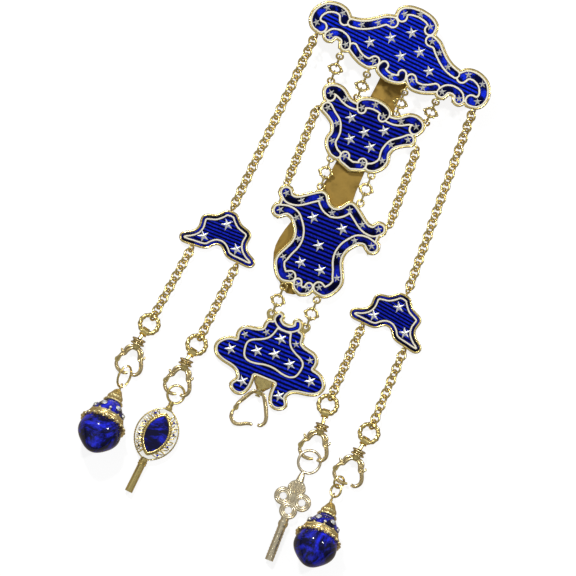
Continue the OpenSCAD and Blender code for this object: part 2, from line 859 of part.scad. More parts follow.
// Spring clips. Their local frame has the collar at 0 and the clip below it, k is the width
TURNS = [0, 2, 3, -2];
WIDTHS = [0.88, 0.88, 0.96, 1];
RIGHT_ARM = [[1.2, -1.75, 0.5], [2, -2.9, 0.55], [3.1, -4.7, 0.55], [4.2, -6.5, 0.55],
  [4.75, -8.2, 0.52], [4.4, -9.5, 0.5], [3.4, -10.4, 0.46], [2.15, -10.35, 0.4]];
LEFT_ARM = [[-1.2, -1.75, 0.5], [-2, -2.9, 0.55], [-3.1, -4.6, 0.55], [-4.05, -6.05, 0.5]];
GATE = [[-4.55, -8.1, 0.4], [-4.35, -9.1, 0.5], [-3.4, -10.2, 0.52], [-1.9, -10.85, 0.52],
  [-0.3, -10.9, 0.5]];
PIVOT = [-4.6, -7.6];
function narrowed(p, k) = [for (q = p) [q[0] * k, q[1], 0, q[2]]];

// Leaf scroll on the shoulder of a clip
module shoulder_leaf(k) {
  difference() {
    scale([k, 1])
      polygon(smooth([[0.6, -1.6], [2.3, -1.9], [3.3, -3], [3.5, -4.4], [4.4, -5], [3.6, -5.6],
        [2.7, -5.1], [1.9, -4.4], [1.5, -3.4]], 3));
    translate([0, -2.5])
      square([2.2, 3], center = true);
  }
}

module cheek(pivot, arm) {
  translate(pivot)
    circle(0.85, $fn = 28);
  polygon([pivot + [-0.82, 0], pivot + [0.82, 0], arm + [0.5, 0], arm + [-0.5, 0]]);
}

module cheeks(pivot, arm) {
  for (s = [-1, 1])
    translate([0, 0, s * 0.575 - 0.175])
      linear_extrude(0.35)
        offset(delta = 0.001)
          cheek(pivot, arm);
  translate([pivot[0], pivot[1], -0.7])
    cylinder(h = 1.4, r = 0.3);
}

module boss(y, h) {
  translate([0, y, 0])
    rotate([90, 0, 0])
      difference() {
        cylinder(h = h, r = 1.3);
        translate([0, 0, -1])
          cylinder(h = h + 2, r = 0.55);
      }
}

module clip_body(k) {
  boss(-0.95, 1.3);
  difference() {
    union() {
      wire(narrowed(RIGHT_ARM, k));
      wire(narrowed(LEFT_ARM, k));
      for (s = [1, -1])
        translate([0, 0, -0.5])
          linear_extrude(1)
            offset(delta = 0.001)
              scale([s, 1])
                shoulder_leaf(k);
    }
    rotate([90, 0, 0])
      cylinder(h = 3.3, r = 0.95);
  }
  cheeks([PIVOT[0] * k, PIVOT[1]], [-4.05 * k, -5.9]);
}

module gate_with_eye(pivot, points) {
  difference() {
    union() {
      translate([pivot[0], pivot[1], -0.3])
        cylinder(h = 0.6, r = 0.78);
      wire(points);
    }
    translate([pivot[0], pivot[1], -1])
      cylinder(h = 2, r = 0.35);
    for (s = [-1, 1])
      translate([pivot[0], pivot[1], s * 1.34])
        cylinder(h = 2, r = 1, center = true);
  }
}

module clip_gate(k) {
  gate_with_eye([PIVOT[0] * k, PIVOT[1]],
    concat(narrowed(GATE, k), [[k - (1 - k) * 1.5, -10.5, 0, 0.4]]));
}

module body_at(i) {
  color("gold")
    laid()
      in_clip(xyz(DROPS[i][2], collar_z), TURNS[i])
        clip_body(WIDTHS[i]);
}

module gate_at(i) {
  color("gold")
    laid()
      in_clip(xyz(DROPS[i][2], collar_z), TURNS[i])
        clip_gate(WIDTHS[i]);
}

module clip_1() {
  body_at(0);
}

module gate_1() {
  gate_at(0);
}

module clip_2() {
  body_at(1);
}

module gate_2() {
  gate_at(1);
}

module clip_3() {
  body_at(2);
}

module gate_3() {
  gate_at(2);
}

module clip_4() {
  body_at(3);
}

module gate_4() {
  gate_at(3);
}

// Centre clip, drawn from the cup
CENTRE_RIGHT = [[1.2, -4.4, 0, 0.5], [2, -5.2, 0, 0.5], [2.9, -6.5, 0, 0.55],
  [3.9, -8.2, 0, 0.55], [4.6, -9.6, 0, 0.55], [5.2, -11, 0, 0.52], [5.4, -12.6, 0, 0.5],
  [4.6, -14, 0, 0.46], [3.5, -14.2, 0, 0.4]];
CENTRE_LEFT = [[-1.2, -4.4, 0, 0.5], [-2.1, -5.2, 0, 0.5], [-3, -6.6, 0, 0.55],
  [-3.9, -8.3, 0, 0.55], [-4.9, -10.15, 0, 0.5]];
CENTRE_GATE = [[-5.1, -12.3, 0, 0.4], [-5.6, -13.5, 0, 0.48], [-5.2, -15.2, 0, 0.5],
  [-3.6, -16.5, 0, 0.5], [-1.8, -16.2, 0, 0.5], [0, -15.2, 0, 0.5], [1.7, -14.7, 0, 0.4]];
CENTRE_PIVOT = [-5, -11.7];

module centre_clip() {
  color("gold")
    laid()
      in_clip(CUP, 0, 2.5) {
        boss(-4.05, 1.15);
        difference() {
          union() {
            wire(CENTRE_RIGHT);
            wire(CENTRE_LEFT);
          }
          rotate([90, 0, 0])
            cylinder(h = 6.2, r = 0.98);
        }
        cheeks(CENTRE_PIVOT, [-4.9, -9.9]);
      }
}

module centre_gate() {
  color("gold")
    laid()
      in_clip(CUP, 0, 2.5)
        gate_with_eye(CENTRE_PIVOT, CENTRE_GATE);
}

// Rings between the clips and the acorns
module oval(c, a, b, w, roll, turn = 0) {
  translate(c)
    rotate([0, 0, turn])
      rotate([0, roll, 0])
        wire_loop([for (i = [0:15]) [a * cos(22.5 * i), b * sin(22.5 * i), 0]], w, 8);
}

module pendant_rings() {
  color("gold")
    laid() {
      oval([-51.2, -48, 1.62], 2.2, 3.6, 0.38, 34);
      oval([25.2, -52.6, 1.52], 1.9, 1.9, 0.38, 35);
      oval([25.3, -55.55, 1.52], 1.9, 2.05, 0.38, -35);
    }
}

// Acorns. Their local frame has the collar at 0 and the finial above it
LEFT_ACORN = [-51.5, -64.3, -1.5];
RIGHT_ACORN = [25.9, -71.4, 1];
LEFT_EYE = [-50.95, -51.6, 1.4];
RIGHT_EYE = [25.13, -57.7, 1.4];
module in_acorn(p) {
  translate([p[0], p[1], collar_r * cos(acorn_tilt)])
    rotate([0, 0, p[2]])
      rotate([-90 - acorn_tilt, 0, 0])
        children();
}

module lace() {
  difference() {
    union() {
      circle(6.75, $fn = 72);
      for (i = [0:19])
        rotate(18 * i + 90)
          translate([collar_r - 0.9, 0])
            circle(0.9, $fn = 20);
    }
    for (i = [0:19])
      rotate(18 * i + 90)
        translate([collar_r - 0.95, 0])
          circle(0.36, $fn = 12);
    circle(5.2, $fn = 60);
  }
}

module acorn_gold(p, eye) {
  top = collar_r * cos(acorn_tilt) - 13 * sin(acorn_tilt);
  in_acorn(p) {
    rotate_extrude()
      polygon([[0, -0.3], [6.5, -0.3], [6.6, 1], [6, 1.5], [5.9, 2.5], [5.38, 2.5], [5.38, 2.2],
        [1, 2.2], [1, 7.9], [2.8, 7.9], [2.95, 8.3], [2.2, 9.3], [2.35, 10.2], [1.85, 11.2],
        [1.3, 12.1], [0.8, 12.9], [0, 13]]);
    translate([0, 0, -0.7])
      linear_extrude(0.7)
        offset(delta = 0.001)
          lace();
  }
  translate(eye)
    rotate([0, 90, 0])
      ring(1.05, 0.33);
  bar(eye + [0, -1.05, -0.2], [eye[0], p[1] + 12.3 * cos(acorn_tilt), top + 0.45], 0.45);
}

module acorn_dome(p) {
  in_acorn(p)
    rotate_extrude()
      polygon([[1.05, 2.25], [5.32, 2.25], [5.25, 3.4], [4.7, 5], [3.7, 6.6], [2.75, 7.85],
        [1.05, 7.85]]);
}

module acorn_nut(p) {
  in_acorn(p)
    intersection() {
      translate([0, 0, -3.4])
        sphere(nut_r);
      translate([-10, -10, -20])
        cube([20, 20, 19.25]);
    }
}

module acorn_stones(p) {
  in_acorn(p)
    for (i = [0:5])
      rotate([0, 0, 60 * i])
        translate([4.72, 0, 5])
          rotate([0, 60, 0])
            translate([0, 0, 0.12])
              cylinder(h = 0.6, r1 = 0.8, r2 = 0.4, $fn = 8);
}

module acorn_left_gold() {
  color("gold")
    laid()
      acorn_gold(LEFT_ACORN, LEFT_EYE);
}

module acorn_left_dome() {
  color("mediumblue")
    laid()
      acorn_dome(LEFT_ACORN);
}

module acorn_left_nut() {
  color("mediumblue")
    laid()
      acorn_nut(LEFT_ACORN);
}

module acorn_left_stones() {
  color("lightcyan")
    laid()
      acorn_stones(LEFT_ACORN);
}

module acorn_right_gold() {
  color("gold")
    laid()
      acorn_gold(RIGHT_ACORN, RIGHT_EYE);
}

module acorn_right_dome() {
  color("mediumblue")
    laid()
      acorn_dome(RIGHT_ACORN);
}

module acorn_right_nut() {
  color("mediumblue")
    laid()
      acorn_nut(RIGHT_ACORN);
}

module acorn_right_stones() {
  color("lightcyan")
    laid()
      acorn_stones(RIGHT_ACORN);
}

// Watch key with a blue marquise. Its local frame has the middle of the marquise at 0
module in_marquise() {
  translate([-34.6, -61, 1.55])
    rotate([0, 0, -3.3])
      children();
}

// Pointed oval of half width a and half length b
module pointed(a, b) {
  r = (a * a + b * b) / (2 * a);
  intersection() {
    translate([r - a, 0])
      circle(r, $fn = 120);
    translate([a - r, 0])
      circle(r, $fn = 120);
  }
}

// Openings between the leaves of the frame
module leaf_slots() {
  both()
    for (t = [-60:17:60])
      translate([4.75 * cos(t), 7.1 * sin(t)])
        rotate(t * 0.75 + 32)
          scale([1.25, 0.36])
            circle(1, $fn = 20);
}

module marquise_key_gold() {
  color("gold")
    laid() {
      in_marquise() {
        translate([0, 0, -0.9])
          linear_extrude(1.5)
            offset(delta = 0.001)
              difference() {
                pointed(6.85, 9.1);
                leaf_slots();
              }
        translate([0, 0, 0.4])
          linear_extrude(0.8)
            offset(delta = 0.001)
              difference() {
                pointed(4.15, 7.1);
                pointed(3.55, 6.4);
              }
        rotate([90, 0, 0])
          rotate_extrude()
            polygon([[0, 8.6], [1.25, 8.6], [1.25, 9.6], [1.5, 9.9], [1.25, 10.3], [1.5, 10.7],
              [1.2, 11.1], [1.25, 20.4], [0.75, 20.4], [0.75, 14], [0, 14]]);
        rotate([-90, 0, 0])
          rotate_extrude()
            polygon([[0, 8.5], [1.1, 8.5], [1.1, 9.3], [0.75, 10], [0.9, 10.7], [0.5, 11.4],
              [0, 11.4]]);
      }
      translate([-33.75, -46.9, 1.5])
        rotate([0, 22, 0])
          ring(2.9, 0.4);
    }
}

module marquise_key_leaves() {
  color("white")
    laid()
      in_marquise()
        translate([0, 0, 0.65])
          linear_extrude(0.35)
            offset(delta = 0.001)
              difference() {
                pointed(6.6, 8.75);
                pointed(4.2, 7.15);
                offset(r = 0.2)
                  leaf_slots();
                for (y = [8.3, -10.3])
                  translate([-3, y])
                    square([6, 2]);
              }
}

module marquise_key_blue() {
  color("mediumblue")
    laid()
      in_marquise()
        translate([0, 0, 0.65])
          linear_extrude(0.75)
            offset(delta = 0.001)
              pointed(3.5, 6.3);
}

// Watch key with a quatrefoil head
PIERCED = [[3.2, 0.2], [-3.2, 0.2], [0, -3.6]];
FAN = [0, 3.7];
module in_quatrefoil() {
  translate([13.6, -63.6, 1.65])
    rotate([0, 0, 1.5])
      children();
}

module quatrefoil() {
  difference() {
    union() {
      for (q = PIERCED)
        translate(q)
          circle(2.95, $fn = 48);
      translate(FAN)
        circle(2.95, $fn = 48);
      circle(3.2, $fn = 48);
    }
    for (q = PIERCED)
      translate(q)
        circle(1.15, $fn = 28);
  }
}

module quatrefoil_key() {
  color("gold")
    laid() {
      in_quatrefoil() {
        translate([0, 0, -1])
          linear_extrude(1.8)
            offset(delta = 0.001)
              quatrefoil();
        for (q = PIERCED)
          translate([q[0], q[1], 0.8])
            ring(1.9, 0.4);
        rotate([90, 0, 0])
          rotate_extrude()
            polygon([[0, 6.2], [1.3, 6.2], [1.3, 7.2], [1.6, 7.7], [1.6, 8.6], [1.3, 9.3],
              [1.35, 20.7], [0.8, 20.7], [0.8, 14], [0, 14]]);
        rotate([-90, 0, 0])
          rotate_extrude()
            polygon([[0, 6.4], [1.3, 6.4], [1.1, 7.6], [0.9, 8.6], [0.5, 9.6], [0, 9.6]]);
      }
      translate([13.9, -50.3, 1.6])
        rotate([0, 17.5, 0])
          ring(3.7, 0.45);
    }
}

belt_hook();
top_gold();
top_enamel();
top_lines();
top_stars();
second_gold();
second_enamel();
second_lines();
second_stars();
third_gold();
third_enamel();
third_lines();
third_stars();
fourth_gold();
fourth_enamel();
fourth_lines();
fourth_stars();
left_wing_gold();
left_wing_enamel();
left_wing_lines();
left_wing_stars();
right_wing_gold();
right_wing_enamel();
right_wing_lines();
right_wing_stars();
outer_chain_left();
outer_chain_right();
upper_chains();
middle_chain_left();
middle_chain_right();
inner_chains();
lower_chains();
drop_chain_1();
drop_chain_2();
drop_chain_3();
drop_chain_4();
clip_1();
gate_1();
clip_2();
gate_2();
clip_3();
gate_3();
clip_4();
gate_4();
centre_clip();
centre_gate();
pendant_rings();
acorn_left_gold();
acorn_left_dome();
acorn_left_nut();
acorn_left_stones();
acorn_right_gold();
acorn_right_dome();
acorn_right_nut();
acorn_right_stones();
marquise_key_gold();
marquise_key_leaves();
marquise_key_blue();
quatrefoil_key();
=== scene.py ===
"""Looks of the chatelaine: enamelled plates with raised white lines, chains, clips, acorns and keys."""
import json
import math

import bpy
import numpy as np
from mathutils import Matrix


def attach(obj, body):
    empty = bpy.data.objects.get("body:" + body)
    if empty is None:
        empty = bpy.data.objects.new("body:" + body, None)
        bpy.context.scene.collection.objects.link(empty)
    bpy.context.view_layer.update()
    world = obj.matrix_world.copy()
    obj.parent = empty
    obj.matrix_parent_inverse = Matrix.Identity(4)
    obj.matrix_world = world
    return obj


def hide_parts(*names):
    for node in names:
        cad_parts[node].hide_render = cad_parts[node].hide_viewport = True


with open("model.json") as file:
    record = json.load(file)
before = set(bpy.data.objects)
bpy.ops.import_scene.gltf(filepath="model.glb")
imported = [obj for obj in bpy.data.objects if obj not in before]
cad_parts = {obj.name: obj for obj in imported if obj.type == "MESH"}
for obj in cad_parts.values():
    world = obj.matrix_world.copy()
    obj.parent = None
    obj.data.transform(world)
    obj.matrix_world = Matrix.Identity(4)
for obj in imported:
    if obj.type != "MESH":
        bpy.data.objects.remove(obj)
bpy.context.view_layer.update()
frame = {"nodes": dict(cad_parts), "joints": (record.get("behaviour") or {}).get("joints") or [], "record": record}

# Sizes in millimetres, as in the construction
MM = 0.001
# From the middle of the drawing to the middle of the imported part
SHIFT = (12.8, -6.49)
# Width of a white line, and of the gold left showing round the enamel
LINE = 0.65
RIM = 0.45
# Heights over the underside of a plate: foot of the enamel, its lower edge, its face, a line's rise, the
# glass's swell between the lines
FOOT_Z, EDGE_Z, FACE_Z, LINE_RISE, GLASS_SWELL = 0.86, 1.8, 1.86, 0.26, 0.16
# Heights of the rim's middle line, and of the stars on the field and in the bands
RIM_Z, FIELD_STAR_Z, BAND_STAR_Z = 1.72, 1.95, 1.98
# Length of the rays and rise of the middle of a star on the field, and of one in a band
FIELD_STAR, BAND_STAR = (2.05, 0.42), (1.35, 0.36)
# Turn of the stars in the bands, and how far from the middle line a star has a twin on the other half
BAND_STAR_TURN, TWIN_FROM = 9, 0.6
# Radius of the rim's wire, depth of its milling and distance between its notches
RIM_WIRE, MILLING, NOTCHES = 0.36, 0.05, 0.22
# Dark border of a wing plate, and the white line inside it
WING_BORDER, WING_LINE = 0.8, 0.6
# Spacing of the grid that the enamel is worked out on
STEP = 0.17

# Plates: x and y of the middle, turn in degrees, height of the underside
PLATES = {
    "top": (-9.4, 83, -3.5, 7.05), "second": (-10.55, 53, 1, 1.25), "third": (-10, 14, 1, 1.25),
    "fourth": (-9.55, -26, 0.5, 0), "left_wing": (-39.6, 6.5, 1, 0), "right_wing": (20.86, 3.35, -7, 0)}
# How far each plate's grid reaches from its middle
REACH = {"top": (32, 15), "second": (18, 13), "third": (19, 18), "fourth": (20, 17), "left_wing": (20, 17),
         "right_wing": (20, 17)}
# Bands on the right half of a plate: x, y and half width along each middle line
BANDS = {
    "top": [
        [(0, 12.1, .7), (3, 11.65, .75), (4.95, 10.4, .95), (4.9, 8.9, 1.25)],
        [(6.75, 5.95, 1.3), (8.9, 5.5, .95), (10.9, 3.75, .95), (13.3, 1.9, .95), (15.9, .6, .95),
         (18.5, 0, .9)],
        [(20.8, -.15, 1.3), (22.2, 1.55, 1), (24.7, 1.95, .95), (27.6, .8, 1.05), (29.2, -1.6, 1.05),
         (29.3, -3.7, 1.1), (28.3, -5.1, 1.25), (26.6, -5.4, 1.4)],
        [(23, -6.8, 1.15), (22.2, -5.45, 1), (20.1, -4.9, .9), (18, -5.6, .95), (17.05, -7.3, 1.15)],
        [(14.6, -6.8, 1), (12.4, -8.1, .85), (10.15, -8.9, .85), (7.9, -8.9, 1), (6.5, -7.6, 1.15)],
        [(3.2, -7.5, .95), (3.5, -8.8, .9), (2, -9.7, .8), (0, -10.1, .75)]],
    "second": [
        [(0, 10, 1.1), (2.3, 9.6, 1.1), (4, 8.6, 1.1), (3.6, 7.2, 1)],
        [(5.6, 7.3, .6), (7.7, 7.4, .7), (9.6, 8.1, .85), (11.8, 9.5, 1.1), (13.8, 9.8, 1.1),
         (15.2, 8.9, 1.2), (14.5, 7.4, 1.25)],
        [(14, 3.65, 1.25), (12, 2.3, .95), (9.6, .4, .95), (8.5, -2.2, .9), (8.5, -4, .9),
         (8.8, -5.4, 1), (8.3, -7, 1), (6.8, -8.6, .95), (5.5, -9.1, .8)],
        [(3, -8.6, 1), (3.2, -9.6, .8), (1.9, -10.1, .8), (0, -10.7, .85)]],
    "third": [
        [(0, 11.9, 1), (2, 12.5, 1), (3.6, 13.8, 1), (4.7, 15.4, 1), (5.6, 15.3, 1), (7.8, 13.8, 1),
         (10.3, 12, 1), (12.3, 11.1, 1), (14.6, 11.2, 1.15), (16, 12.6, 1.35)],
        [(16, 6.5, 1.4), (13.6, 7.6, .95), (11, 7.2, .95), (9.4, 5.8, .95), (7.6, 3.2, .95),
         (6.9, .4, .95), (7.2, -2, .95), (8.2, -4.4, .95), (9.1, -6.6, 1.1), (9.6, -8.4, 1),
         (8.7, -10.6, 1), (7, -12.3, 1.1), (4.9, -11.8, 1.35)],
        [(1.9, -12.7, .85), (1.5, -14, .8), (0, -14.8, .7)]],
    "fourth": [
        [(3.1, 15, .5), (3.4, 13.9, .6), (2.4, 12.8, .55), (1.1, 12.2, .5), (0, 12.1, .5)],
        [(4.8, 11.3, .9), (5.1, 8.7, 1), (7.2, 7.3, .95), (9.2, 6.8, .95), (11.2, 5.6, 1.5),
         (11.3, 3.5, 1), (10.8, 2, .7)]]}
# Right halves of the other outlines: x and y
CARTOUCHE = [(2.3, 11.2), (2.9, 9), (4, 7.2), (6, 5.9), (8.2, 4.9), (9.5, 3.6), (9.6, 1.5), (8.8, -.9),
             (7, -1.9), (4.5, -1.8), (2, -1.2), (0, -1)]
LEG = [(11.2, 2.2), (13.5, 2.4), (16, 1.6), (17.8, -.6), (17.2, -2.8), (15, -4), (11, -4.8), (8.7, -6),
       (7.5, -8.5), (8.8, -10.8), (7.2, -12.1), (5.3, -11.7), (4.3, -9.5), (4.2, -6.5), (4.3, -4.9),
       (0, -4.7)]
WING = [(0, 7.1), (1.6, 6.8), (2.7, 5.6), (4.2, 4.3), (6, 3.7), (7.3, 3.2), (8, 2.2), (7.9, .8),
        (7.8, -.6), (8.4, -2.2), (9.9, -3.5), (11.6, -4.4), (12.4, -5.4), (12, -6.5), (10.8, -6.9),
        (8, -6.7), (5, -6.5), (3.3, -5.9), (2.1, -4.6), (1, -3.8), (0, -3.6)]
# Brightness of each plate's blue from 0 to 1, and the spacing of its engraved ridges
TONES = {"top": 1.0, "second": 0.45, "third": 0.42, "fourth": 0.75, "left_wing": 0.5, "right_wing": 0.45}
RIDGES = {"top": 1.22, "second": 1.34, "third": 1.34, "fourth": 1.34, "left_wing": 1.07, "right_wing": 1.07}
# Stars on the right half of a plate, in the bands and on the field
BAND_STARS = {
    "top": [(0, 12.1), (4.6, 10), (7.2, 6), (10.9, 3.8), (15.3, .9), (22.3, 1.6), (27.6, .9),
            (28.6, -4.8), (17.1, -7), (22.9, -6.6), (6.8, -7.9), (11, -8.6), (.3, -9.8)],
    "second": [(0, 10.1), (3.7, 7.7), (9.6, 8.2), (14.6, 8.4), (13.8, 3.6), (9.3, .1), (8.6, -5.7),
               (3.1, -8.8)],
    "third": [(15.8, 12.4), (10.4, 12), (5, 14.8), (0, 11.9), (15.7, 6.7), (10, 6.3), (6.9, .2),
              (9.2, -6.9), (5, -11.8), (1.6, -13.4)],
    "fourth": [(5.1, 8.7), (11.2, 5.5)]}
WING_STARS = [(0, 3), (5.7, -3.2), (-5.7, -3.2)]
FIELD_STARS = {
    "top": [(.15, 5.6), (5.1, 1.2), (-5.1, 1.2), (10.5, -3), (-10.5, -3), (.3, -2.7)],
    "second": [(5.7, 3.4), (-5.7, 3.4), (0, .6), (3.5, -3.1), (-3.5, -3.1)],
    "third": [(5, 8.3), (-5, 8.3), (0, .6), (3.4, -6.5), (-3.4, -6.5)],
    "fourth": [(0, 8.4), (0, 3.2), (5.7, 2), (-5.7, 2), (13.8, -.6), (-13.8, -.6), (6.3, -8.7),
               (-6.3, -8.7)],
    "left_wing": WING_STARS, "right_wing": WING_STARS}

# Clips: middle of the rope ring, middle of the collar, turn in degrees, width against the widest
CLIPS = [((-50.3, -29.5), (-51.4, -36), 0, 0.88), ((-33.8, -29.7), (-34.8, -36.2), 2, 0.88),
         ((12.3, -31.2), (13.2, -38.5), 3, 0.96), ((28, -34.5), (27.2, -41.5), -2, 1)]
CLIP_TILT, CENTRE_TILT = 4, 2.5
# Radius, wire and height of a rope ring, and height of a collar
ROPE_R, ROPE_WIRE, ROPE_Z, COLLAR_Z = 2.95, 0.66, 1.55, 2.3
# Arms and gates of the clips: x, y and radius of the wire
RIGHT_ARM = [(1.2, -1.75, .5), (2, -2.9, .55), (3.1, -4.7, .55), (4.2, -6.5, .55), (4.75, -8.2, .52),
             (4.4, -9.5, .5), (3.4, -10.4, .46), (2.15, -10.35, .4)]
LEFT_ARM = [(-1.2, -1.75, .5), (-2, -2.9, .55), (-3.1, -4.6, .55), (-4.05, -6.05, .5)]
GATE = [(-4.55, -8.1, .4), (-4.35, -9.1, .5), (-3.4, -10.2, .52), (-1.9, -10.85, .52), (-.3, -10.9, .5)]
CUP = (-9.5, -31.6, 1.75)
CENTRE_RIGHT = [(1.2, -4.4, .5), (2, -5.2, .5), (2.9, -6.5, .55), (3.9, -8.2, .55), (4.6, -9.6, .55),
                (5.2, -11, .52), (5.4, -12.6, .5), (4.6, -14, .46), (3.5, -14.2, .4)]
CENTRE_LEFT = [(-1.2, -4.4, .5), (-2.1, -5.2, .5), (-3, -6.6, .55), (-3.9, -8.3, .55), (-4.9, -10.15, .5)]
CENTRE_GATE = [(-5.6, -13.5, .48), (-5.2, -15.2, .5), (-3.6, -16.5, .5), (-1.8, -16.2, .5), (0, -15.2, .5),
               (1.7, -14.7, .4)]

# Acorns: x, y and turn of each; collar's radius, tilt on the table, nut's radius and its middle's depth
ACORNS = {"left": (-51.5, -64.3, -1.5), "right": (25.9, -71.4, 1)}
COLLAR_R, ACORN_TILT, NUT_R, NUT_DEPTH = 7.6, 27, 7.05, 3.4
# Short chains: the plates above and below them, and their ends; height of the eyelets on a plate
SHORT_CHAINS = {
    "upper": ("top", "second", [((-27.2, 72.8), (-26.8, 64.7)), ((-17, 70.8), (-17, 63.1)),
                                ((-3.8, 70.2), (-3.5, 63)), ((6.6, 71.2), (6.4, 64.1))]),
    "inner": ("second", "third", [((-17.3, 41.8), (-16.7, 32.3)), ((-3.2, 41.8), (-3, 32.3))]),
    "lower": ("third", "fourth", [((-15.3, -1.8), (-15.4, -11.2)), ((-3.9, -1.6), (-3.6, -11.2))])}
EYELET_Z = 1.25
# Middles and turns of the two watch keys, and height of the marquise's leaves over its middle
MARQUISE, MARQUISE_TURN, LEAF_Z = (-34.6, -61, 1.55), -3.3, 0.95
QUATREFOIL, QUATREFOIL_TURN = (13.6, -63.6, 1.65), 1.5
# Camera: place in metres, focal length over a sensor 36 mm wide, and roll in degrees
CAMERA_AT, LENS, ROLL = (-0.00108, -0.00815, 2.4), 468.8, 22.75
# Lamps: place in metres, power and size
LAMPS = [((-0.25, 0.3, 0.5), 2.6, 0.06), ((0.3, 0.2, 0.45), 1.3, 0.04)]


# Curves and distances
def smooth(points, n):
    """Catmull-Rom curve, n steps to each stretch: a cubic of the two ends and of their outer neighbours."""
    p = np.array(points, float)
    ends = np.vstack([p[:1], p, p[-1:]])
    a, b, c, d = (ends[k:len(p) - 1 + k, None] for k in range(4))
    t = (np.arange(n) / n)[None, :, None]
    curve = b + 0.5 * t * (c - a + t * (2 * a - 5 * b + 4 * c - d + t * (3 * (b - c) + d - a)))
    return np.vstack([curve.reshape(-1, p.shape[1]), p[-1:]])


def even(loop, step):
    """The closed loop with points at equal distances, each then drawn a little towards its neighbours."""
    p = np.vstack([loop, loop[:1]])
    d = np.concatenate([[0], np.cumsum(np.hypot(*np.diff(p, axis=0).T))])
    n = max(int(d[-1] / step), 8)
    s = np.linspace(0, d[-1], n, endpoint=False)
    q = np.stack([np.interp(s, d, p[:, 0]), np.interp(s, d, p[:, 1])], 1)
    for _ in range(2):
        q = (np.roll(q, 1, 0) + 2 * q + np.roll(q, -1, 0)) / 4
    return q


def both_halves(half):
    """Closed outline from one half and its mirror image."""
    h = np.array(half)[:, :2]
    return np.vstack([h, h[::-1] * [-1, 1]])


def nearest(px, py, a, b):
    """Share of the way from a to b that is nearest to each point, and the distance there."""
    d = b[:2] - a[:2]
    t = np.clip(((px - a[0]) * d[0] + (py - a[1]) * d[1]) / max(d @ d, 1e-9), 0, 1)
    return t, np.hypot(px - a[0] - t * d[0], py - a[1] - t * d[1])


def from_band(px, py, curve):
    """Distance to a band: distance to its middle line less the half width there."""
    best = np.full(px.shape, 1e9)
    for a, b in zip(curve[:-1], curve[1:]):
        t, away = nearest(px, py, a, b)
        best = np.minimum(best, away - (a[2] + t * (b[2] - a[2])))
    return best


def from_outline(px, py, outline):
    """Distance to a closed outline, negative inside it, where a line to the right crosses it an odd number
    of times."""
    best = np.full(px.shape, 1e9)
    inside = np.zeros(px.shape, bool)
    for a, b in zip(outline, np.roll(outline, -1, 0)):
        best = np.minimum(best, nearest(px, py, a, b)[1])
        crosses = (a[1] > py) != (b[1] > py)
        rise = b[1] - a[1]
        at = a[0] + (py - a[1]) * (b[0] - a[0]) / (rise if abs(rise) > 1e-12 else 1e-12)
        inside ^= crosses & (px < at)
    return np.where(inside, -best, best)


def contour(u, v, f, level):
    """Closed lines where f equals level: straight cuts of the grid's edges, joined cell by cell."""
    f = f - level
    step = u[0, 1] - u[0, 0]
    below = f < 0
    links, points = {}, {}

    def far_end(j, i, axis):
        """Other end of the grid edge that starts at j, i and runs along u, or along v with axis 1."""
        return j + axis, i + 1 - axis

    def cut(edge):
        """Note where f crosses the level on a grid edge."""
        if edge not in points:
            start, axis = edge[:2], edge[2]
            t = f[start] / (f[start] - f[far_end(*edge)]) * step
            points[edge] = (u[start] + t * (1 - axis), v[start] + t * axis)
        return edge

    low, high = below[:-1], below[1:]
    mixed = (low[:, :-1] != high[:, 1:]) | (low[:, 1:] != high[:, :-1]) | (low[:, :-1] != low[:, 1:])
    for j, i in zip(*np.nonzero(mixed)):
        around = ((j, i, 0), (j, i + 1, 1), (j + 1, i, 0), (j, i, 1))
        cuts = [cut(edge) for edge in around if below[edge[:2]] != below[far_end(*edge)]]
        for a, b in zip(cuts[::2], cuts[1::2]):
            links.setdefault(a, []).append(b)
            links.setdefault(b, []).append(a)
    loops, seen = [], set()
    for start in list(links):
        if start in seen:
            continue
        line, at, last = [], start, None
        while at is not None:
            seen.add(at)
            line.append(points[at])
            onward = [k for k in links[at] if k != last and k not in seen]
            last, at = at, (onward[0] if onward else None)
        if len(line) > 20:
            loops.append(np.array(line))
    return loops


def turned(axis, degrees):
    """Rotation matrix about one axis."""
    c, q = math.cos(math.radians(degrees)), math.sin(math.radians(degrees))
    i, j = [(1, 2), (2, 0), (0, 1)][axis]
    m = np.eye(3)
    m[i, i] = m[j, j] = c
    m[i, j], m[j, i] = -q, q
    return m


def on_plate(name, x, y):
    """Where a point of a plate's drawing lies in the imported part."""
    px, py, turn, _ = PLATES[name]
    a = math.radians(turn)
    return (px + SHIFT[0] + x * math.cos(a) - y * math.sin(a),
            py + SHIFT[1] + x * math.sin(a) + y * math.cos(a))


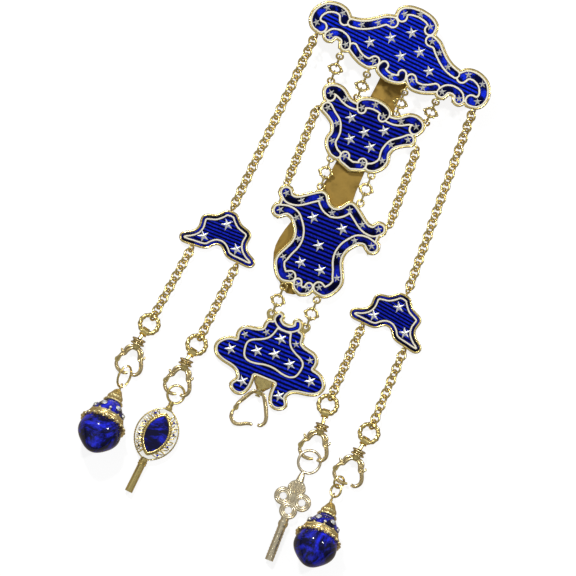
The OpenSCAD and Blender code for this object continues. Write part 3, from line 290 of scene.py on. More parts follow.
# Shapes: each is a pair of vertices in millimetres and faces
def tube(path, radius, sides=8, closed=True, twist=0.0, lobes=0, depth=0.0):
    """Round wire: a ring of points round every point of the path, at the radius times one plus depth times
    the cosine of lobes times the angle, which twist turns along the path. An open wire has flat ends."""
    p = np.asarray(path, float)
    n = len(p)
    r = np.broadcast_to(np.asarray(radius, float), (n,))
    t = np.roll(p, -1, 0) - np.roll(p, 1, 0) if closed else np.gradient(p, axis=0)
    t /= np.linalg.norm(t, axis=1)[:, None]
    a = np.cross(np.broadcast_to((0.0, 0.0, 1.0), p.shape), t)
    a /= np.maximum(np.linalg.norm(a, axis=1), 1e-9)[:, None]
    b = np.cross(t, a)
    k = np.arange(sides) * 2 * math.pi / sides
    turn = np.arange(n)[:, None] * twist / n * 2 * math.pi
    ring = r[:, None] * (1 + depth * np.cos(lobes * k + turn))
    across, over = (ring * np.cos(k))[:, :, None], (ring * np.sin(k))[:, :, None]
    v = p[:, None] + across * a[:, None] + over * b[:, None]
    i, j = np.meshgrid(np.arange(n if closed else n - 1), np.arange(sides), indexing="ij")
    i2, j2 = (i + 1) % n, (j + 1) % sides
    f = np.stack([i * sides + j, i2 * sides + j, i2 * sides + j2, i * sides + j2], -1)
    f = f.reshape(-1, 4).tolist()
    if not closed:
        f.append(list(range(sides)))
        f.append([(n - 1) * sides + q for q in range(sides - 1, -1, -1)])
    return v.reshape(-1, 3), f


def wire(points, lift=0.0, extra=0.0, wide=1.0, swell=1.0):
    """Open wire on a smooth curve at height lift: x times wide, radius times swell plus extra."""
    q = smooth(np.array(points) * [wide, 1, swell], 6)
    return tube(np.stack([q[:, 0], q[:, 1], np.full(len(q), lift)], 1), q[:, 2] + extra, 12, closed=False)


def loop_wire(loop, z, radius, sides=8, **looks):
    """Closed wire at height z along a loop of x and y."""
    return tube(np.column_stack([loop, np.full(len(loop), z)]), radius, sides, **looks)


def ring(r, n, radius, sides=8, z=0.0, **looks):
    """Closed wire round a circle of radius r with n steps."""
    t = np.arange(n) * 2 * math.pi / n
    return loop_wire(r * np.stack([np.cos(t), np.sin(t)], 1), z, radius, sides, **looks)


def turned_shape(profile, sides=48, ribs=0, depth=0.0):
    """Surface round Z through (radius, height) rows; ribs swell it as the size of a cosine of the angle."""
    p = np.array(profile, float)
    t = np.arange(sides) * 2 * math.pi / sides
    r = p[:, :1] * (1 + depth * np.abs(np.cos(ribs * t / 2)))
    v = np.stack([r * np.cos(t), r * np.sin(t), np.broadcast_to(p[:, 1:2], r.shape)], -1).reshape(-1, 3)
    i, j = np.meshgrid(np.arange(len(p) - 1), np.arange(sides), indexing="ij")
    k = (j + 1) % sides
    f = np.stack([i * sides + j, i * sides + k, (i + 1) * sides + k, (i + 1) * sides + j], -1)
    return v, f.reshape(-1, 4).tolist()


def bead(r, at=(0, 0, 0), n=8):
    """Ball of radius r round a point, as a half circle of n points turned round Z."""
    a = np.radians(np.linspace(-90, 90, n))
    v, f = turned_shape(np.stack([r * np.cos(a) + 1e-4, r * np.sin(a)], 1), 2 * n)
    return v + np.array(at), f


def star(x, y, z, r, high, turn):
    """Five rays: ten rim points by turns at radius r and 0.36 r, and at 0.55 and 0.3 of the height of the
    raised middle, with a skirt that goes down by 0.35 mm."""
    i = np.arange(10)
    a = np.radians(36 * i + 180 + turn)
    tip = i % 2 == 0
    q = np.where(tip, r, r * 0.36)
    rim = np.stack([x + q * np.sin(a), y + q * np.cos(a), z + high * np.where(tip, 0.55, 0.3)], 1)
    skirt = rim * [1, 1, 0] + [0, 0, z - 0.35]
    after_i = (i + 1) % 10
    top = np.stack([0 * i, 1 + after_i, 1 + i], 1)
    side = np.stack([1 + i, 1 + after_i, 11 + after_i, 11 + i], 1)
    return np.vstack([[[x, y, z + high]], rim, skirt]), top.tolist() + side.tolist()


def moved(part, matrix, offset=(0, 0, 0)):
    """A part turned by the matrix and then moved by the offset."""
    return np.asarray(part[0]) @ matrix.T + np.asarray(offset, float), part[1]


def put(part, matrix, at):
    """A part turned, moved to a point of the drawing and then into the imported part."""
    return moved(part, matrix, (at[0] + SHIFT[0], at[1] + SHIFT[1], at[2]))


def joined(parts):
    """One set of vertices and faces from several."""
    verts, faces, base = [], [], 0
    for v, f in parts:
        verts.append(np.asarray(v))
        faces += [[i + base for i in q] for q in f]
        base += len(v)
    return np.vstack(verts), faces


def mesh_object(name, verts, faces, material, flat=False):
    """Object from vertices in millimetres, with its place in its mesh."""
    me = bpy.data.meshes.new(name)
    me.from_pydata((np.asarray(verts) * MM).tolist(), [], faces)
    me.validate()
    ob = bpy.data.objects.new(name, me)
    bpy.context.collection.objects.link(ob)
    me.materials.append(material)
    if not flat:
        me.polygons.foreach_set("use_smooth", [True] * len(me.polygons))
    return ob


def piece(name, parts, material, body="chatelaine", flat=False):
    """One finished piece that rides on a body, in the material given."""
    ob = mesh_object(name, *joined(parts), material, flat)
    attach(ob, body)
    return ob


# Shader nodes
def material(name):
    """Empty material with a Principled shader: the material, its nodes and the shader."""
    m = bpy.data.materials.new(name)
    m.use_nodes = True
    nt = m.node_tree
    nt.nodes.clear()
    out = nt.nodes.new("ShaderNodeOutputMaterial")
    out.name = "Material Output"
    p = nt.nodes.new("ShaderNodeBsdfPrincipled")
    nt.links.new(p.outputs[0], out.inputs[0])
    return m, nt, p


def node(nt, kind, inputs=None, **settings):
    """New node with its settings, and with each input linked or given its value."""
    n = nt.nodes.new(kind)
    for k, v in settings.items():
        setattr(n, k, v)
    for k, v in (inputs or {}).items():
        if isinstance(v, bpy.types.NodeSocket):
            nt.links.new(v, n.inputs[k])
        else:
            n.inputs[k].default_value = v
    return n


def maths(nt, op, a, b=0.0, c=0.0):
    """One step of arithmetic."""
    return node(nt, "ShaderNodeMath", {0: a, 1: b, 2: c}, operation=op).outputs[0]


def ramp(nt, value, low, high, a=0.0, b=1.0):
    """Smooth step from a to b while value goes from low to high."""
    sockets = {0: value, 1: low, 2: high, 3: a, 4: b}
    return node(nt, "ShaderNodeMapRange", sockets, interpolation_type="SMOOTHSTEP").outputs[0]


def blend(nt, share, a, b):
    """Colour a turned into colour b by a share."""
    return node(nt, "ShaderNodeMix", {0: share, 6: a, 7: b}, data_type="RGBA").outputs[2]


def noise(nt, place, scale, detail, **more):
    """Value of a noise at a place."""
    sockets = {"Vector": place, "Scale": scale, "Detail": detail, **more}
    return node(nt, "ShaderNodeTexNoise", sockets).outputs[0]


def bump(nt, p, height, strength):
    """Fine relief on a Principled shader."""
    b = node(nt, "ShaderNodeBump", {"Height": height, "Strength": strength, "Distance": 0.0001})
    nt.links.new(b.outputs[0], p.inputs["Normal"])


def own_place(nt):
    """Object coordinates of the piece itself, in metres."""
    return node(nt, "ShaderNodeTexCoord").outputs["Object"]


def group(name, inputs, outputs):
    """Empty node group with named sockets: the group, what it is given and what it makes."""
    g = bpy.data.node_groups.new(name, "ShaderNodeTree")
    for way, sockets in (("INPUT", inputs), ("OUTPUT", outputs)):
        for label, kind in sockets.items():
            g.interface.new_socket(label, in_out=way, socket_type="NodeSocket" + kind)
    return g, g.nodes.new("NodeGroupInput").outputs, g.nodes.new("NodeGroupOutput").inputs


def grain_and_shade_group():
    """Grain and painted shade of all the metals: darker where the metal is hidden by something near it, painted
    shade where it turns away, a little uneven elsewhere.
    """
    g, given, made = group(
        "metal grain and shade",
        {"Place": "Vector", "Hidden": "Float", "Away": "Float", "Bright": "Color", "Dark": "Color",
         "Nearby Dark": "Float", "Grain": "Float", "Polish": "Float"},
        {"Color": "Color", "Roughness": "Float", "Height": "Float"})
    grain = noise(g, given["Place"], given["Grain"], 3.0)
    # Darker where something stands near the metal, by the amount given
    nearby_dark = maths(g, "MULTIPLY", ramp(g, given["Hidden"], 0.1, 0.5, 1.0, 0.0), given["Nearby Dark"])
    # Painted shade: towards the edges that turn away from the camera, the colour goes over to the dark one
    darkening = maths(g, "MAXIMUM", nearby_dark, ramp(g, given["Away"], 0.44, 0.88, 0.0, 0.95))
    dull = node(g, "ShaderNodeVectorMath", {0: given["Bright"], "Scale": 0.75}, operation="SCALE").outputs[0]
    tone = blend(g, ramp(g, grain, 0.35, 0.7), given["Bright"], dull)
    g.links.new(blend(g, darkening, tone, given["Dark"]), made["Color"])
    rough = maths(g, "MULTIPLY_ADD", ramp(g, grain, 0.3, 0.7), 0.16, given["Polish"])
    g.links.new(rough, made["Roughness"])
    g.links.new(grain, made["Height"])
    return g


def glitter_group():
    """Fine glitter of engraved gold under glass: a noise that dims the light to 0.45 in its low places."""
    g, given, made = group(
        "glitter", {"Place": "Vector", "Scale": "Float", "Detail": "Float", "Full": "Float"},
        {"Light": "Float", "Height": "Float"})
    grain = noise(g, given["Place"], given["Scale"], given["Detail"])
    g.links.new(ramp(g, grain, 0.3, given["Full"], 0.45, 1.0), made["Light"])
    g.links.new(grain, made["Height"])
    return g


GRAIN_AND_SHADE = grain_and_shade_group()
GLITTER = glitter_group()


# Materials
def metal(name, bright, dark, polish, nearby_dark, grain=900.0, relief=0.35):
    """Polished metal with an uneven grain and painted shade where it turns away; it counts as hidden, and goes
    darker, where something stands within 1.2 mm of it.
    """
    m, nt, p = material(name)
    hidden = node(nt, "ShaderNodeAmbientOcclusion", {"Distance": 0.0012}, samples=4).outputs["AO"]
    away = node(nt, "ShaderNodeLayerWeight", {"Blend": 0.5}).outputs["Facing"]
    darkening = node(nt, "ShaderNodeGroup",
                {"Place": own_place(nt), "Hidden": hidden, "Away": away, "Bright": (*bright, 1),
                 "Dark": (*dark, 1), "Nearby Dark": nearby_dark, "Grain": grain, "Polish": polish}, node_tree=GRAIN_AND_SHADE)
    nt.links.new(darkening.outputs["Color"], p.inputs["Base Color"])
    nt.links.new(darkening.outputs["Roughness"], p.inputs["Roughness"])
    p.inputs["Metallic"].default_value = 1.0
    bump(nt, p, darkening.outputs["Height"], relief)
    return m


def enamel_material():
    """Blue glass over engraved ridges, with opaque white lines that have thin gold edges.

    The mesh says how deep in the blue a point is (blue, negative on a line), whether it is in a band (band),
    how bright its plate is (tone) and how many ridges it is from the plate's middle (ridge)."""
    m, nt, p = material("enamel")
    blue, band, tone, ridge = (node(nt, "ShaderNodeAttribute", attribute_name=k).outputs["Fac"]
                               for k in ("blue", "band", "tone", "ridge"))
    place = own_place(nt)
    drift = noise(nt, place, 300.0, 3.0)
    glitter = node(nt, "ShaderNodeGroup", {"Place": place, "Scale": 1800.0, "Detail": 2.0, "Full": 0.62},
                   node_tree=GLITTER)
    turns = maths(nt, "ADD", maths(nt, "MULTIPLY", ridge, 2 * math.pi), maths(nt, "MULTIPLY", drift, 1.3))
    stripes = ramp(nt, maths(nt, "SINE", turns), -0.4, 0.65)
    on_field = maths(nt, "MULTIPLY", stripes, maths(nt, "SUBTRACT", 1.0, band))
    in_bands = maths(nt, "MULTIPLY", ramp(nt, drift, 0.45, 0.62), band)
    lit = maths(nt, "MULTIPLY", maths(nt, "ADD", on_field, in_bands), ramp(nt, blue, 0.0, 0.5, 0.1, 1.0))
    lit = maths(nt, "MULTIPLY", lit, glitter.outputs["Light"])
    deep = blend(nt, tone, (0.0001, 0.0001, 0.0006, 1), (0.0004, 0.0012, 0.026, 1))
    bright = blend(nt, tone, (0.006, 0.007, 0.22, 1), (0.007, 0.026, 0.68, 1))
    white, gold_edge = (0.72, 0.69, 0.57, 1), (0.2, 0.13, 0.05, 1)
    on_line = ramp(nt, blue, -0.05, 0.0, 1.0, 0.0)
    colour = blend(nt, on_line, blend(nt, lit, deep, bright), white)
    edge = maths(nt, "MULTIPLY", ramp(nt, blue, -0.12, -0.05), ramp(nt, blue, -0.02, 0.05, 1.0, 0.0))
    colour = blend(nt, maths(nt, "MULTIPLY", edge, 0.7), colour, gold_edge)
    nt.links.new(colour, p.inputs["Base Color"])
    p.inputs["Roughness"].default_value = 0.25
    p.inputs["Specular IOR Level"].default_value = 0.06
    bump(nt, p, glitter.outputs["Height"], 0.25)
    return m


def nut_material():
    """Deep blue enamel with brighter marbled drifts, which are painted reflections, for the acorns and the
    marquise.
    """
    m, nt, p = material("nut")
    place = own_place(nt)
    drift = noise(nt, place, 110.0, 7.0, Roughness=0.75, Distortion=1.5)
    glitter = node(nt, "ShaderNodeGroup", {"Place": place, "Scale": 700.0, "Detail": 3.0, "Full": 0.6},
                   node_tree=GLITTER)
    deep, bright = (0.003, 0.003, 0.03, 1), (0.02, 0.03, 0.85, 1)
    # Painted reflections: the marbled drifts turn the deep blue into the bright one
    lit = maths(nt, "MULTIPLY", ramp(nt, drift, 0.44, 0.62), glitter.outputs["Light"])
    nt.links.new(blend(nt, lit, deep, bright), p.inputs["Base Color"])
    p.inputs["Roughness"].default_value = 0.12
    p.inputs["Specular IOR Level"].default_value = 0.2
    p.inputs["Coat Weight"].default_value = 0.35
    p.inputs["Coat Roughness"].default_value = 0.03
    return m


def plain_material(name, colour, rough, metallic=0.0):
    """Even material for small things."""
    m, _, p = material(name)
    p.inputs["Base Color"].default_value = (*colour, 1)
    p.inputs["Roughness"].default_value = rough
    p.inputs["Metallic"].default_value = metallic
    return m


GOLD = metal("gold", (1.0, 0.8, 0.31), (0.16, 0.06, 0.003), 0.2, 0.9)
CLIP_GOLD = metal("clip gold", (1.0, 0.81, 0.42), (0.14, 0.05, 0.005), 0.19, 0.9)
BRIGHT_GOLD = metal("bright gold", (1.0, 0.84, 0.42), (0.6, 0.36, 0.07), 0.26, 0.5)
PALE_GOLD = metal("pale gold", (1.0, 0.88, 0.62), (0.14, 0.08, 0.025), 0.26, 0.9)
HOOK_GOLD = metal("hook gold", (0.42, 0.27, 0.065), (0.12, 0.06, 0.015), 0.36, 0.5, 260.0, 0.6)
SILVER = metal("silver", (0.98, 0.98, 0.94), (0.03, 0.03, 0.05), 0.36, 0.6)
ENAMEL = enamel_material()
NUT = nut_material()
WHITE = plain_material("white enamel", (0.86, 0.85, 0.8), 0.25)
STONE = plain_material("stone", (0.8, 0.86, 0.95), 0.05, 0.55)

# Finishes of the construction's own pieces that aren't plain gold
FINISHES = {"belt_hook": HOOK_GOLD, "acorn_left_gold": BRIGHT_GOLD, "acorn_right_gold": BRIGHT_GOLD,
            "acorn_left_dome": NUT, "acorn_right_dome": NUT, "acorn_left_nut": NUT, "acorn_right_nut": NUT,
            "acorn_left_stones": STONE, "acorn_right_stones": STONE, "marquise_key_blue": NUT,
            "marquise_key_leaves": WHITE, "quatrefoil_key": PALE_GOLD}
for key, ob in frame["nodes"].items():
    ob.data.materials.clear()
    ob.data.materials.append(FINISHES.get(key, GOLD))


# Plates
def wing_fields(u, v):
    """As fields, for a wing: from the outline inwards come a dark border, a white line and the field."""
    out = from_outline(u, v, both_halves(smooth(WING, 5)))
    border = np.minimum(-out + 0.05, out + WING_BORDER)
    field = -out - WING_BORDER - WING_LINE
    return out, border, field


def fourth_fields(u, v, bands):
    """As fields, for the plate with a crescent above, a cartouche in the middle and two legs: the field lies
    inside the cartouche, or between it and the outline, and stops short of the crescent."""
    half = smooth(CARTOUCHE, 5)
    inner = from_outline(u, v, both_halves(half))
    top = from_outline(u, v, both_halves(np.vstack([[(0, 12.1)], half])))
    legs = from_outline(u, v, both_halves(np.vstack([[(9.6, 1.5)], smooth(LEG, 5)])))
    out = np.minimum.reduce([bands[0], bands[1], top, legs]) - LINE
    out = from_outline(u, v, even(max(contour(u, v, out, 0), key=len), 0.3))
    round_it = np.minimum(inner - LINE / 2, -out - LINE)
    field = np.minimum(np.maximum(-inner - LINE / 2, round_it), bands[0] - LINE * 0.9)
    return out, -bands[0], field


def scroll_fields(name, u, v, bands):
    """As fields, for a plate with scrolled bands: each band stops a line's width short of those before it."""
    middle = from_outline(u, v, both_halves(np.vstack([np.array(b)[:, :2] for b in BANDS[name]])))
    near = np.minimum.reduce(bands)
    in_band = -bands[0]
    for i in range(1, len(bands)):
        in_band = np.maximum(in_band, np.minimum(-bands[i], np.minimum.reduce(bands[:i]) - LINE * 0.8))
    return np.minimum(middle, near) - LINE, in_band, np.minimum(-middle, near - LINE)


def fields(name, u, v):
    """Distance outside the enamel, depth inside the nearest blue cell, and 1 where that cell is in a band."""
    bands = [from_band(np.abs(u), v, smooth(b, 6)) for b in BANDS.get(name, [])]
    if not bands:
        out, in_band, field = wing_fields(u, v)
    elif name == "fourth":
        out, in_band, field = fourth_fields(u, v, bands)
    else:
        out, in_band, field = scroll_fields(name, u, v, bands)
    return out, np.maximum(in_band, field), (in_band > field) * 1.0


def enamel_height(out, blue):
    """A line is half an ellipse across its width. The glass rises from the lines towards the middle of its
    cell, as one less the exponential of the depth over 0.6 mm."""
    t = np.clip(np.minimum(-blue, np.maximum(-out, 0)) / (LINE / 2), 0, 1)
    line = FACE_Z + LINE_RISE * np.sqrt(1 - (1 - t) ** 2)
    glass = FACE_Z + GLASS_SWELL * (1 - np.exp(-np.maximum(blue, 0) / 0.6))
    return np.where(blue > 0, glass, line)


def enamel_plate(name):
    """Enamel and lines as a height over a grid, drawn in to the outline at its edge, with a wall down."""
    z0 = PLATES[name][3]
    u, v = np.meshgrid(*(np.arange(-r, r + STEP, STEP) for r in REACH[name]))
    out, blue, band = fields(name, u, v)
    # Points at the outline or outside it are drawn to it, down the slope of the distance
    at_edge = out > -STEP * 0.3
    pull = np.where(at_edge, out, 0)
    u2 = u - pull * np.gradient(out, STEP, axis=1)
    v2 = v - pull * np.gradient(out, STEP, axis=0)
    blue = np.where(at_edge, np.minimum(blue, -0.02), blue)
    z = np.where(at_edge, EDGE_Z, enamel_height(out, blue))
    keep = out < STEP * 0.75
    quad = keep[:-1, :-1] & keep[1:, :-1] & keep[:-1, 1:] & keep[1:, 1:]
    used = np.zeros(u.shape, bool)
    for a, b in ((0, 0), (0, 1), (1, 0), (1, 1)):
        used[a:a + quad.shape[0], b:b + quad.shape[1]] |= quad
    ids = np.full(u.shape, -1)
    ids[used] = np.arange(used.sum())
    j, i = np.nonzero(quad)
    faces = np.stack([ids[j, i], ids[j, i + 1], ids[j + 1, i + 1], ids[j + 1, i]], 1)
    verts = np.stack([*on_plate(name, u2[used], v2[used]), z[used] + z0], 1)
    # Edges that only one face has are the rim, and the wall goes down from them
    edges = np.concatenate([faces[:, [k, (k + 1) % 4]] for k in range(4)])
    label = np.sort(edges, 1) @ np.array([len(verts), 1])
    _, first, count = np.unique(label, return_index=True, return_counts=True)
    rim = edges[first[count == 1]]
    low = np.unique(rim)
    below = np.full(len(verts), -1)
    below[low] = len(verts) + np.arange(len(low))
    wall = np.stack([rim[:, 1], rim[:, 0], below[rim[:, 0]], below[rim[:, 1]]], 1)
    bottom = verts[low] * [1, 1, 0] + [0, 0, z0 + FOOT_Z]
    faces = np.vstack([faces, wall]).tolist()
    ob = mesh_object(name + "_enamelled", np.vstack([verts, bottom]), faces, ENAMEL)
    # What the enamel's material reads, on the face and at the foot of the wall
    looks = {"blue": (blue[used], -1.0), "band": (band[used], 0.0),
             "tone": (np.full(len(verts), TONES[name]), 0.0), "ridge": (v2[used] / RIDGES[name], 0.0)}
    for label, (values, at_foot) in looks.items():
        both = np.concatenate([values, np.full(len(low), at_foot)]).astype(np.float32)
        ob.data.attributes.new(label, "FLOAT", "POINT").data.foreach_set("value", both)
    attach(ob, "chatelaine")
    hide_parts(name + "_enamel", name + "_lines")
    return u, v, out


def dress_plate(name):
    """Enamel, milled rim, large stars on the field and small stars in the bands."""
    _, _, turn, z0 = PLATES[name]
    rims = []
    for loop in contour(*enamel_plate(name), RIM * 0.5):
        q = even(loop, NOTCHES)
        milled = RIM_WIRE + MILLING * np.cos(np.arange(len(q)) * math.pi)
        rims.append(loop_wire(np.stack(on_plate(name, q[:, 0], q[:, 1]), 1), z0 + RIM_Z, milled))
    piece(name + "_rim", rims, GOLD)
    large = [star(*on_plate(name, x, y), z0 + FIELD_STAR_Z, *FIELD_STAR, -turn)
             for x, y in FIELD_STARS[name]]
    ob = piece(name + "_field_stars", large, SILVER, flat=True)
    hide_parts(name + "_stars")
    small = [star(*on_plate(name, s * x, y), z0 + BAND_STAR_Z, *BAND_STAR, BAND_STAR_TURN * s - turn)
             for x, y in BAND_STARS.get(name, []) for s in ((1, -1) if x > TWIN_FROM else (1,))]
    if small:
        piece(name + "_band_stars", small, SILVER, flat=True)


for name in PLATES:
    dress_plate(name)


# Clips
def body_of(node_name):
    """The hinged body that a piece of the construction belongs to."""
    bodies = frame["record"]["behaviour"]["bodies"]
    return next(j["child"] for j in frame["joints"] if node_name in bodies[j["child"]])


def shoulder(wide):
    """Leaf scroll on one shoulder: two ribs that curl outwards, and a longer one along the arm."""
    ribs = ([(.7, -1.9, .4), (1.9, -2.1, .42), (3, -3, .4), (3.3, -4.1, .36), (4, -4.6, .3),
             (4.5, -4.1, .24), (4.2, -3.6, .16)],
            [(.6, -2.3, .34), (1.5, -2.9, .36), (2.3, -4, .36), (2.6, -5.1, .32), (3.3, -5.6, .27),
             (3.8, -5.2, .2)],
            [(2.9, -4.2, .2), (3.9, -5.8, .26), (4.5, -7.2, .24), (4.6, -8, .12)])
    return [wire(rib, 0.42, 0, wide, 1.28) for rib in ribs]


def dress_clip(number, rope_at, collar_at, turn, wide):
    """Twisted rope ring, beaded collar, scrolls on the arms, and the face of the gate."""
    rope = ring(ROPE_R, 144, ROPE_WIRE, 14, twist=12, lobes=3, depth=0.2)
    piece(f"rope_ring_{number}", [put(rope, np.eye(3), (*rope_at, ROPE_Z))], GOLD)
    m = turned(2, turn) @ turned(0, CLIP_TILT)
    at = (*collar_at, COLLAR_Z)
    beads = []
    for y, r in ((-0.72, 2.02), (0.0, 1.55), (0.72, 2.02)):
        milled = ring(r, 60, 0.24, 10, twist=14, lobes=2, depth=0.12)
        beads.append(put(milled, m @ turned(0, 90), at + m @ (0, y, 0)))
    piece(f"collar_beads_{number}", beads, CLIP_GOLD)
    leaf = [(-3.1, -5.2, .2), (-4.3, -6.2, .3), (-4.6, -7.3, .3), (-4.6, -8, .2)]
    scrolls = shoulder(wide) + shoulder(-wide)
    scrolls += [wire(RIGHT_ARM, 0, 0.12, wide), wire(LEFT_ARM, 0, 0.12, wide), wire(leaf, 0.7, 0, wide)]
    piece(f"clip_{number}_scrolls", [put(q, m, at) for q in scrolls], CLIP_GOLD)
    rib = [(-4.5, -8.4, .16), (-4, -9.4, .22), (-2.9, -10.2, .2), (-1.6, -10.5, .14)]
    gate = [wire(GATE, 0, 0.08, wide), wire(rib, 0.42, 0, wide)]
    piece(f"gate_{number}_face", [put(q, m, at) for q in gate], CLIP_GOLD, body_of(f"gate_{number}"))


def dress_centre_clip():
    """Scrolls on the arms of the centre clip, and its gate with a bead at each end."""
    m = turned(0, CENTRE_TILT)
    curl = [(.8, -4.2, .3), (1.9, -4.6, .34), (2.6, -5.6, .34), (3.1, -6.9, .3), (3.9, -7.7, .24),
            (4.5, -7.6, .16)]
    leaf = [(-4.2, -9.4, .24), (-5, -10.4, .34), (-5.2, -11.6, .3), (-5.2, -12.2, .2)]
    scrolls = [wire(CENTRE_RIGHT, 0, 0.1), wire(CENTRE_LEFT, 0, 0.1), wire(curl, 0.4),
               wire(curl, 0.4, 0, -1), wire(leaf, 0.7)]
    piece("centre_clip_scrolls", [put(q, m, CUP) for q in scrolls], CLIP_GOLD)
    rib = [(-5.5, -13.3, .2), (-5, -15, .26), (-3.6, -16, .24), (-2, -15.9, .2), (0, -15, .16)]
    gate = [wire(CENTRE_GATE, 0, 0.08), bead(.62, (-5.45, -14, .2)), bead(.58, (1.5, -14.8, .15)),
            wire(rib, 0.4)]
    piece("centre_gate_face", [put(q, m, CUP) for q in gate], CLIP_GOLD, body_of("centre_gate"))


for i, clip in enumerate(CLIPS):
    dress_clip(i + 1, *clip)
dress_centre_clip()


# Acorns
def acorn_place(side):
    """How an acorn is turned, and where the middle of its collar is while the collar touches the table."""
    x, y, turn = ACORNS[side]
    return (turned(2, turn) @ turned(0, -90 - ACORN_TILT),
            np.array([x, y, COLLAR_R * math.cos(math.radians(ACORN_TILT))]))


def dress_acorn(side):
    """Ribbed bell, rope collar, lace of loops and beads; then collets for the stones, with silver beads."""
    m, at = acorn_place(side)
    bell = [(2.8, 7.75), (3.05, 7.95), (3.1, 8.3), (2.7, 8.7), (2.3, 9.3), (2.45, 9.9), (2.4, 10.3),
            (1.95, 11), (1.6, 11.7), (1.4, 12.2), (1.05, 12.7), (0.6, 13.05)]
    # Each place on the dome is its distance from the axis, zero, and its height over the collar
    loop_at, bead_at, stone_at, silver_at = (6.75, 0, -0.3), (5.45, 0, 2.75), (4.9, 0, 5.05), (5.5, 0, 3.7)
    trim = [turned_shape(bell, 96, 16, 0.07),
            ring(6.42, 150, 0.42, 12, 0.55, twist=40, lobes=2, depth=0.22),
            ring(5.85, 120, 0.3, 10, 1.7, twist=60, lobes=2, depth=0.2)]
    for j in range(20):
        r = turned(2, 18 * j + 90)
        trim.append(moved(ring(0.78, 20, 0.24), r, r @ loop_at))
    trim += [bead(0.42, turned(2, 36 * j + 18) @ bead_at) for j in range(10)]
    lift = (0, 0, 0.2)  # so that the lowest rib stays above the table
    piece(f"acorn_{side}_trim", [put(q, m, at + lift) for q in trim], BRIGHT_GOLD)
    jewels = []
    for j in range(6):
        r = turned(2, 60 * j)
        jewels.append(moved(ring(0.84, 24, 0.2), r @ turned(1, 60), r @ stone_at))
    for j in (0, 2, 3, 4, 5):  # a bead beneath would reach into the table
        jewels.append(bead(0.5, turned(2, 60 * j + 30) @ silver_at))
    piece(f"acorn_{side}_collets", [put(q, m, at) for q in jewels], SILVER)


def dress_nut(side):
    """Nut of an acorn: a ball that is drawn in by up to 0.085 of its radius between its belt and its foot."""
    a = np.radians(np.linspace(-90, 22, 60))
    r = NUT_R * (1 - 0.085 * np.sin(2 * np.clip(-a, 0, 2)) ** 2)
    ball = turned_shape(np.stack([r * np.cos(a) + 1e-4, r * np.sin(a) - NUT_DEPTH], 1), 96)
    ob = piece(f"acorn_{side}_ball", [put(ball, *acorn_place(side))], NUT)
    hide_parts(f"acorn_{side}_nut")


for side in ACORNS:
    dress_acorn(side)
for side in ACORNS:
    dress_nut(side)


# Short chains between the plates
def short_trim(a, b):
    """Notched square with knobs at its corners, and a knot on each upright link beside it."""
    a, b = np.array(a), np.array(b)
    d = b - a
    length = np.linalg.norm(d)
    m = turned(2, math.degrees(math.atan2(d[1], d[0]))) @ turned(1, -math.degrees(math.asin(d[2] / length)))
    lozenge = [(1.8, .3), (1.1, 1.25), (.3, 1.9), (-.3, 1.9), (-1.1, 1.25), (-1.8, .3),
               (-1.8, -.3), (-1.1, -1.25), (-.3, -1.9), (.3, -1.9), (1.1, -1.25), (1.8, -.3)]
    loop = even(np.array(lozenge), 0.16)
    swell = 0.44 + 0.07 * np.cos(np.arange(len(loop)) * 8 * math.pi / len(loop))
    parts = [loop_wire(loop, 0, swell, 10)]
    parts += [bead(.52, (0, y, .1)) for y in (2.15, -2.15)]
    parts += [bead(.38, (x, y, .2)) for x in (1.25, -1.25) for y in (1.45, -1.45)]
    parts += [bead(r, (s * min(x, length / 2 - .9), 0, z), 6)
              for s in (1, -1) for x, r in ((2.55, .42), (3.15, .36)) for z in (0.62, -0.62)]
    return [put(q, m, (a + b) / 2) for q in parts]


for name, (upper, lower, pairs) in SHORT_CHAINS.items():
    knobs = []
    for a, b in pairs:
        knobs += short_trim((*a, PLATES[upper][3] + EYELET_Z), (*b, PLATES[lower][3] + EYELET_Z))
    piece(f"{name}_chain_knobs", knobs, GOLD)


# Keys
def pointed(a, b, n=60):
    """Pointed oval of half width a and half length b: two arcs whose radius follows from both."""
    r = (a * a + b * b) / (2 * a)
    t = np.linspace(-math.asin(b / r), math.asin(b / r), n)
    side = np.stack([r * np.cos(t) - (r - a), r * np.sin(t)], 1)
    return np.vstack([side, -side[1:-1]])


def leaf_edges(degrees):
    """Two wires along one leaf of the marquise key, and the middle of the blue dot beside its tip.

    The leaf's middle lies on an ellipse of 4.75 by 7.1 mm, at its angle. The leaf leans by three quarters
    of that angle and 32 degrees, and its vein bends by the square of the distance along it."""
    t = math.radians(degrees)
    middle = np.array([4.75 * math.cos(t), 7.1 * math.sin(t)])
    lean = math.radians(degrees * 0.75 + 32)
    along = np.array([math.cos(lean), math.sin(lean)])
    low = np.array([math.sin(lean), -math.cos(lean)])
    vein = [(*(middle + along * k - low * (0.52 - 0.16 * k * k)), r)
            for k, r in ((-1.25, .12), (-.5, .22), (.4, .28), (1.3, .22), (1.9, .1))]
    edge = [(*(middle + along * k + low * 0.5), r) for k, r in ((-1.1, .1), (0, .2), (1.2, .1))]
    return vein, edge, middle + 1.15 * low - 0.2 * along


def dress_marquise_key():
    """Milled rim and bezel, gold edges of the leaves, and small blue dots between them."""
    m = turned(2, MARQUISE_TURN)
    rim, bezel, ledge = (even(pointed(*half), 0.2) for half in ((6.8, 9.0), (3.85, 6.75), (4.45, 7.35)))
    edges = [loop_wire(rim, 0.62, 0.22, twist=60, lobes=2, depth=0.2),
             loop_wire(bezel, 1.2, 0.4, twist=46, lobes=2, depth=0.25),
             loop_wire(ledge, LEAF_Z, 0.2)]
    dots = []
    for s in (1, -1):
        for degrees in range(-60, 60, 17):
            vein, edge, tip = leaf_edges(degrees)
            edges += [wire(np.array(line) * [s, s, 1], LEAF_Z) for line in (vein, edge)]
            if degrees > -60 and degrees % 2:
                dots.append(bead(.4, (*(tip * s), LEAF_Z), 6))
    piece("marquise_key_edges", [put(q, m, MARQUISE) for q in edges], GOLD)
    piece("marquise_key_dots", [put(q, m, MARQUISE) for q in dots], NUT)


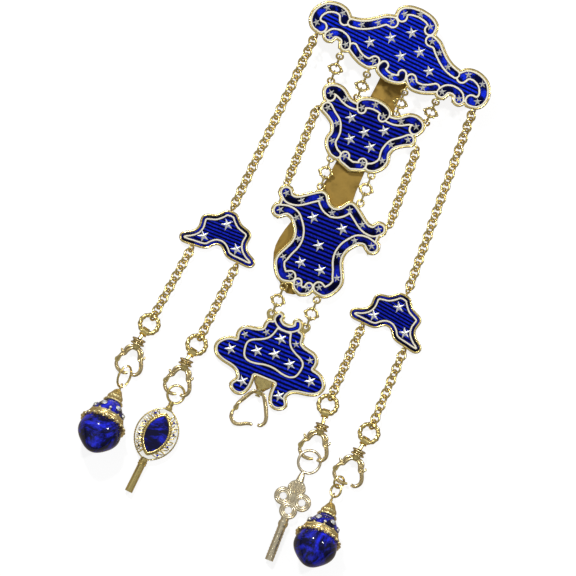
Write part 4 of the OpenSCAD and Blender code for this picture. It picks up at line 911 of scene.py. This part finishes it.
def dress_quatrefoil_key():
    """Ribs round the three holes, a ribbed fan above them, two stems and rings along the pipe."""
    m = turned(2, QUATREFOIL_TURN)
    ribs = [moved(ring(r, 48, w), np.eye(3), (x, y, 0.85))
            for x, y in ((3.2, .2), (-3.2, .2), (0, -3.6)) for r, w in ((1.4, .24), (2.45, .3))]
    for k in range(-3, 4):
        x, y = math.sin(math.radians(k * 24)), math.cos(math.radians(k * 24))
        fan = [(1.1 * x, 1.2 + y, .3), (2 * x, 2.4 + 1.2 * y, .36), (2.8 * x, 3.6 + 2.6 * y, .34)]
        ribs.append(wire(fan, 0.72))
    ribs += [wire([(.5, -1.2, .3), (1.1, .2, .32), (1.2, 1.6, .3)], 0.8, 0, s) for s in (1, -1)]
    ribs += [moved(ring(1.38, 24, 0.1, 6), turned(0, 90), (0, -10.2 - k * 1.1, 0)) for k in range(9)]
    piece("quatrefoil_key_ribs", [put(q, m, QUATREFOIL) for q in ribs], PALE_GOLD)


dress_marquise_key()
dress_quatrefoil_key()


# Table, light and camera
def table():
    """White table that only the camera sees as white: the metal sees it as a dim warm grey."""
    bpy.ops.mesh.primitive_plane_add(size=3, location=(0, 0, -0.00002))
    floor = bpy.context.object
    m, nt, p = material("table")
    p.inputs["Base Color"].default_value = (0.22, 0.22, 0.22, 1)
    p.inputs["Roughness"].default_value = 1.0
    p.inputs["Specular IOR Level"].default_value = 0.0
    seen = node(nt, "ShaderNodeLightPath").outputs["Is Camera Ray"]
    glow = node(nt, "ShaderNodeEmission", {"Color": (1, 1, 1, 1), "Strength": 0.86})
    dim = node(nt, "ShaderNodeEmission", {"Color": (1, 0.86, 0.62, 1), "Strength": 0.36})
    both = node(nt, "ShaderNodeAddShader", {0: p.outputs[0], 1: glow.outputs[0]})
    mix = node(nt, "ShaderNodeMixShader", {0: seen, 1: dim.outputs[0], 2: both.outputs[0]})
    nt.links.new(mix.outputs[0], nt.nodes["Material Output"].inputs[0])
    floor.data.materials.append(m)
    return floor


def tent():
    """Light from all round: from the horizon to near the top, in three soft boxes, stronger on the left."""
    w = bpy.data.worlds.new("tent")
    bpy.context.scene.world = w
    w.use_nodes = True
    nt = w.node_tree
    at = node(nt, "ShaderNodeTexCoord").outputs["Generated"]
    x, y, z = node(nt, "ShaderNodeSeparateXYZ", {0: at}).outputs
    height = maths(nt, "MULTIPLY", ramp(nt, z, -0.05, 0.3), ramp(nt, z, 0.985, 0.999, 1.0, 0.8))
    angle = maths(nt, "ARCTAN2", y, x)
    boxes = ramp(nt, maths(nt, "SINE", maths(nt, "MULTIPLY_ADD", angle, 3.0, 0.6)), -0.5, 0.3, 0.5, 1.0)
    side = ramp(nt, x, -0.5, 0.4, 1.3, 0.75)
    light = maths(nt, "MULTIPLY", maths(nt, "MULTIPLY", height, side), boxes)
    nt.links.new(maths(nt, "MULTIPLY_ADD", light, 7.5, 0.1), nt.nodes["Background"].inputs["Strength"])


def lamps(target):
    """Two small lamps for sparks on the metal."""
    for place, power, size in LAMPS:
        data = bpy.data.lights.new("lamp", "AREA")
        data.energy, data.size = power, size
        lamp = bpy.data.objects.new("lamp", data)
        lamp.location = place
        bpy.context.collection.objects.link(lamp)
        c = lamp.constraints.new("TRACK_TO")
        c.target = target
        c.track_axis, c.up_axis = "TRACK_NEGATIVE_Z", "UP_Y"


def camera():
    """Overhead camera, far away and rolled as the photograph is."""
    data = bpy.data.cameras.new("camera")
    data.sensor_width, data.lens = 36, LENS
    data.clip_end = 10
    cam = bpy.data.objects.new("camera", data)
    cam.location = CAMERA_AT
    cam.rotation_euler = (0, 0, math.radians(ROLL))
    bpy.context.collection.objects.link(cam)
    sc = bpy.context.scene
    sc.camera = cam
    sc.render.resolution_x = sc.render.resolution_y = 576
    sc.render.engine = "CYCLES"
    sc.cycles.samples = 96
    sc.view_settings.view_transform = "Standard"
    sc.view_settings.exposure = 0.0


lamps(table())
tent()
camera()
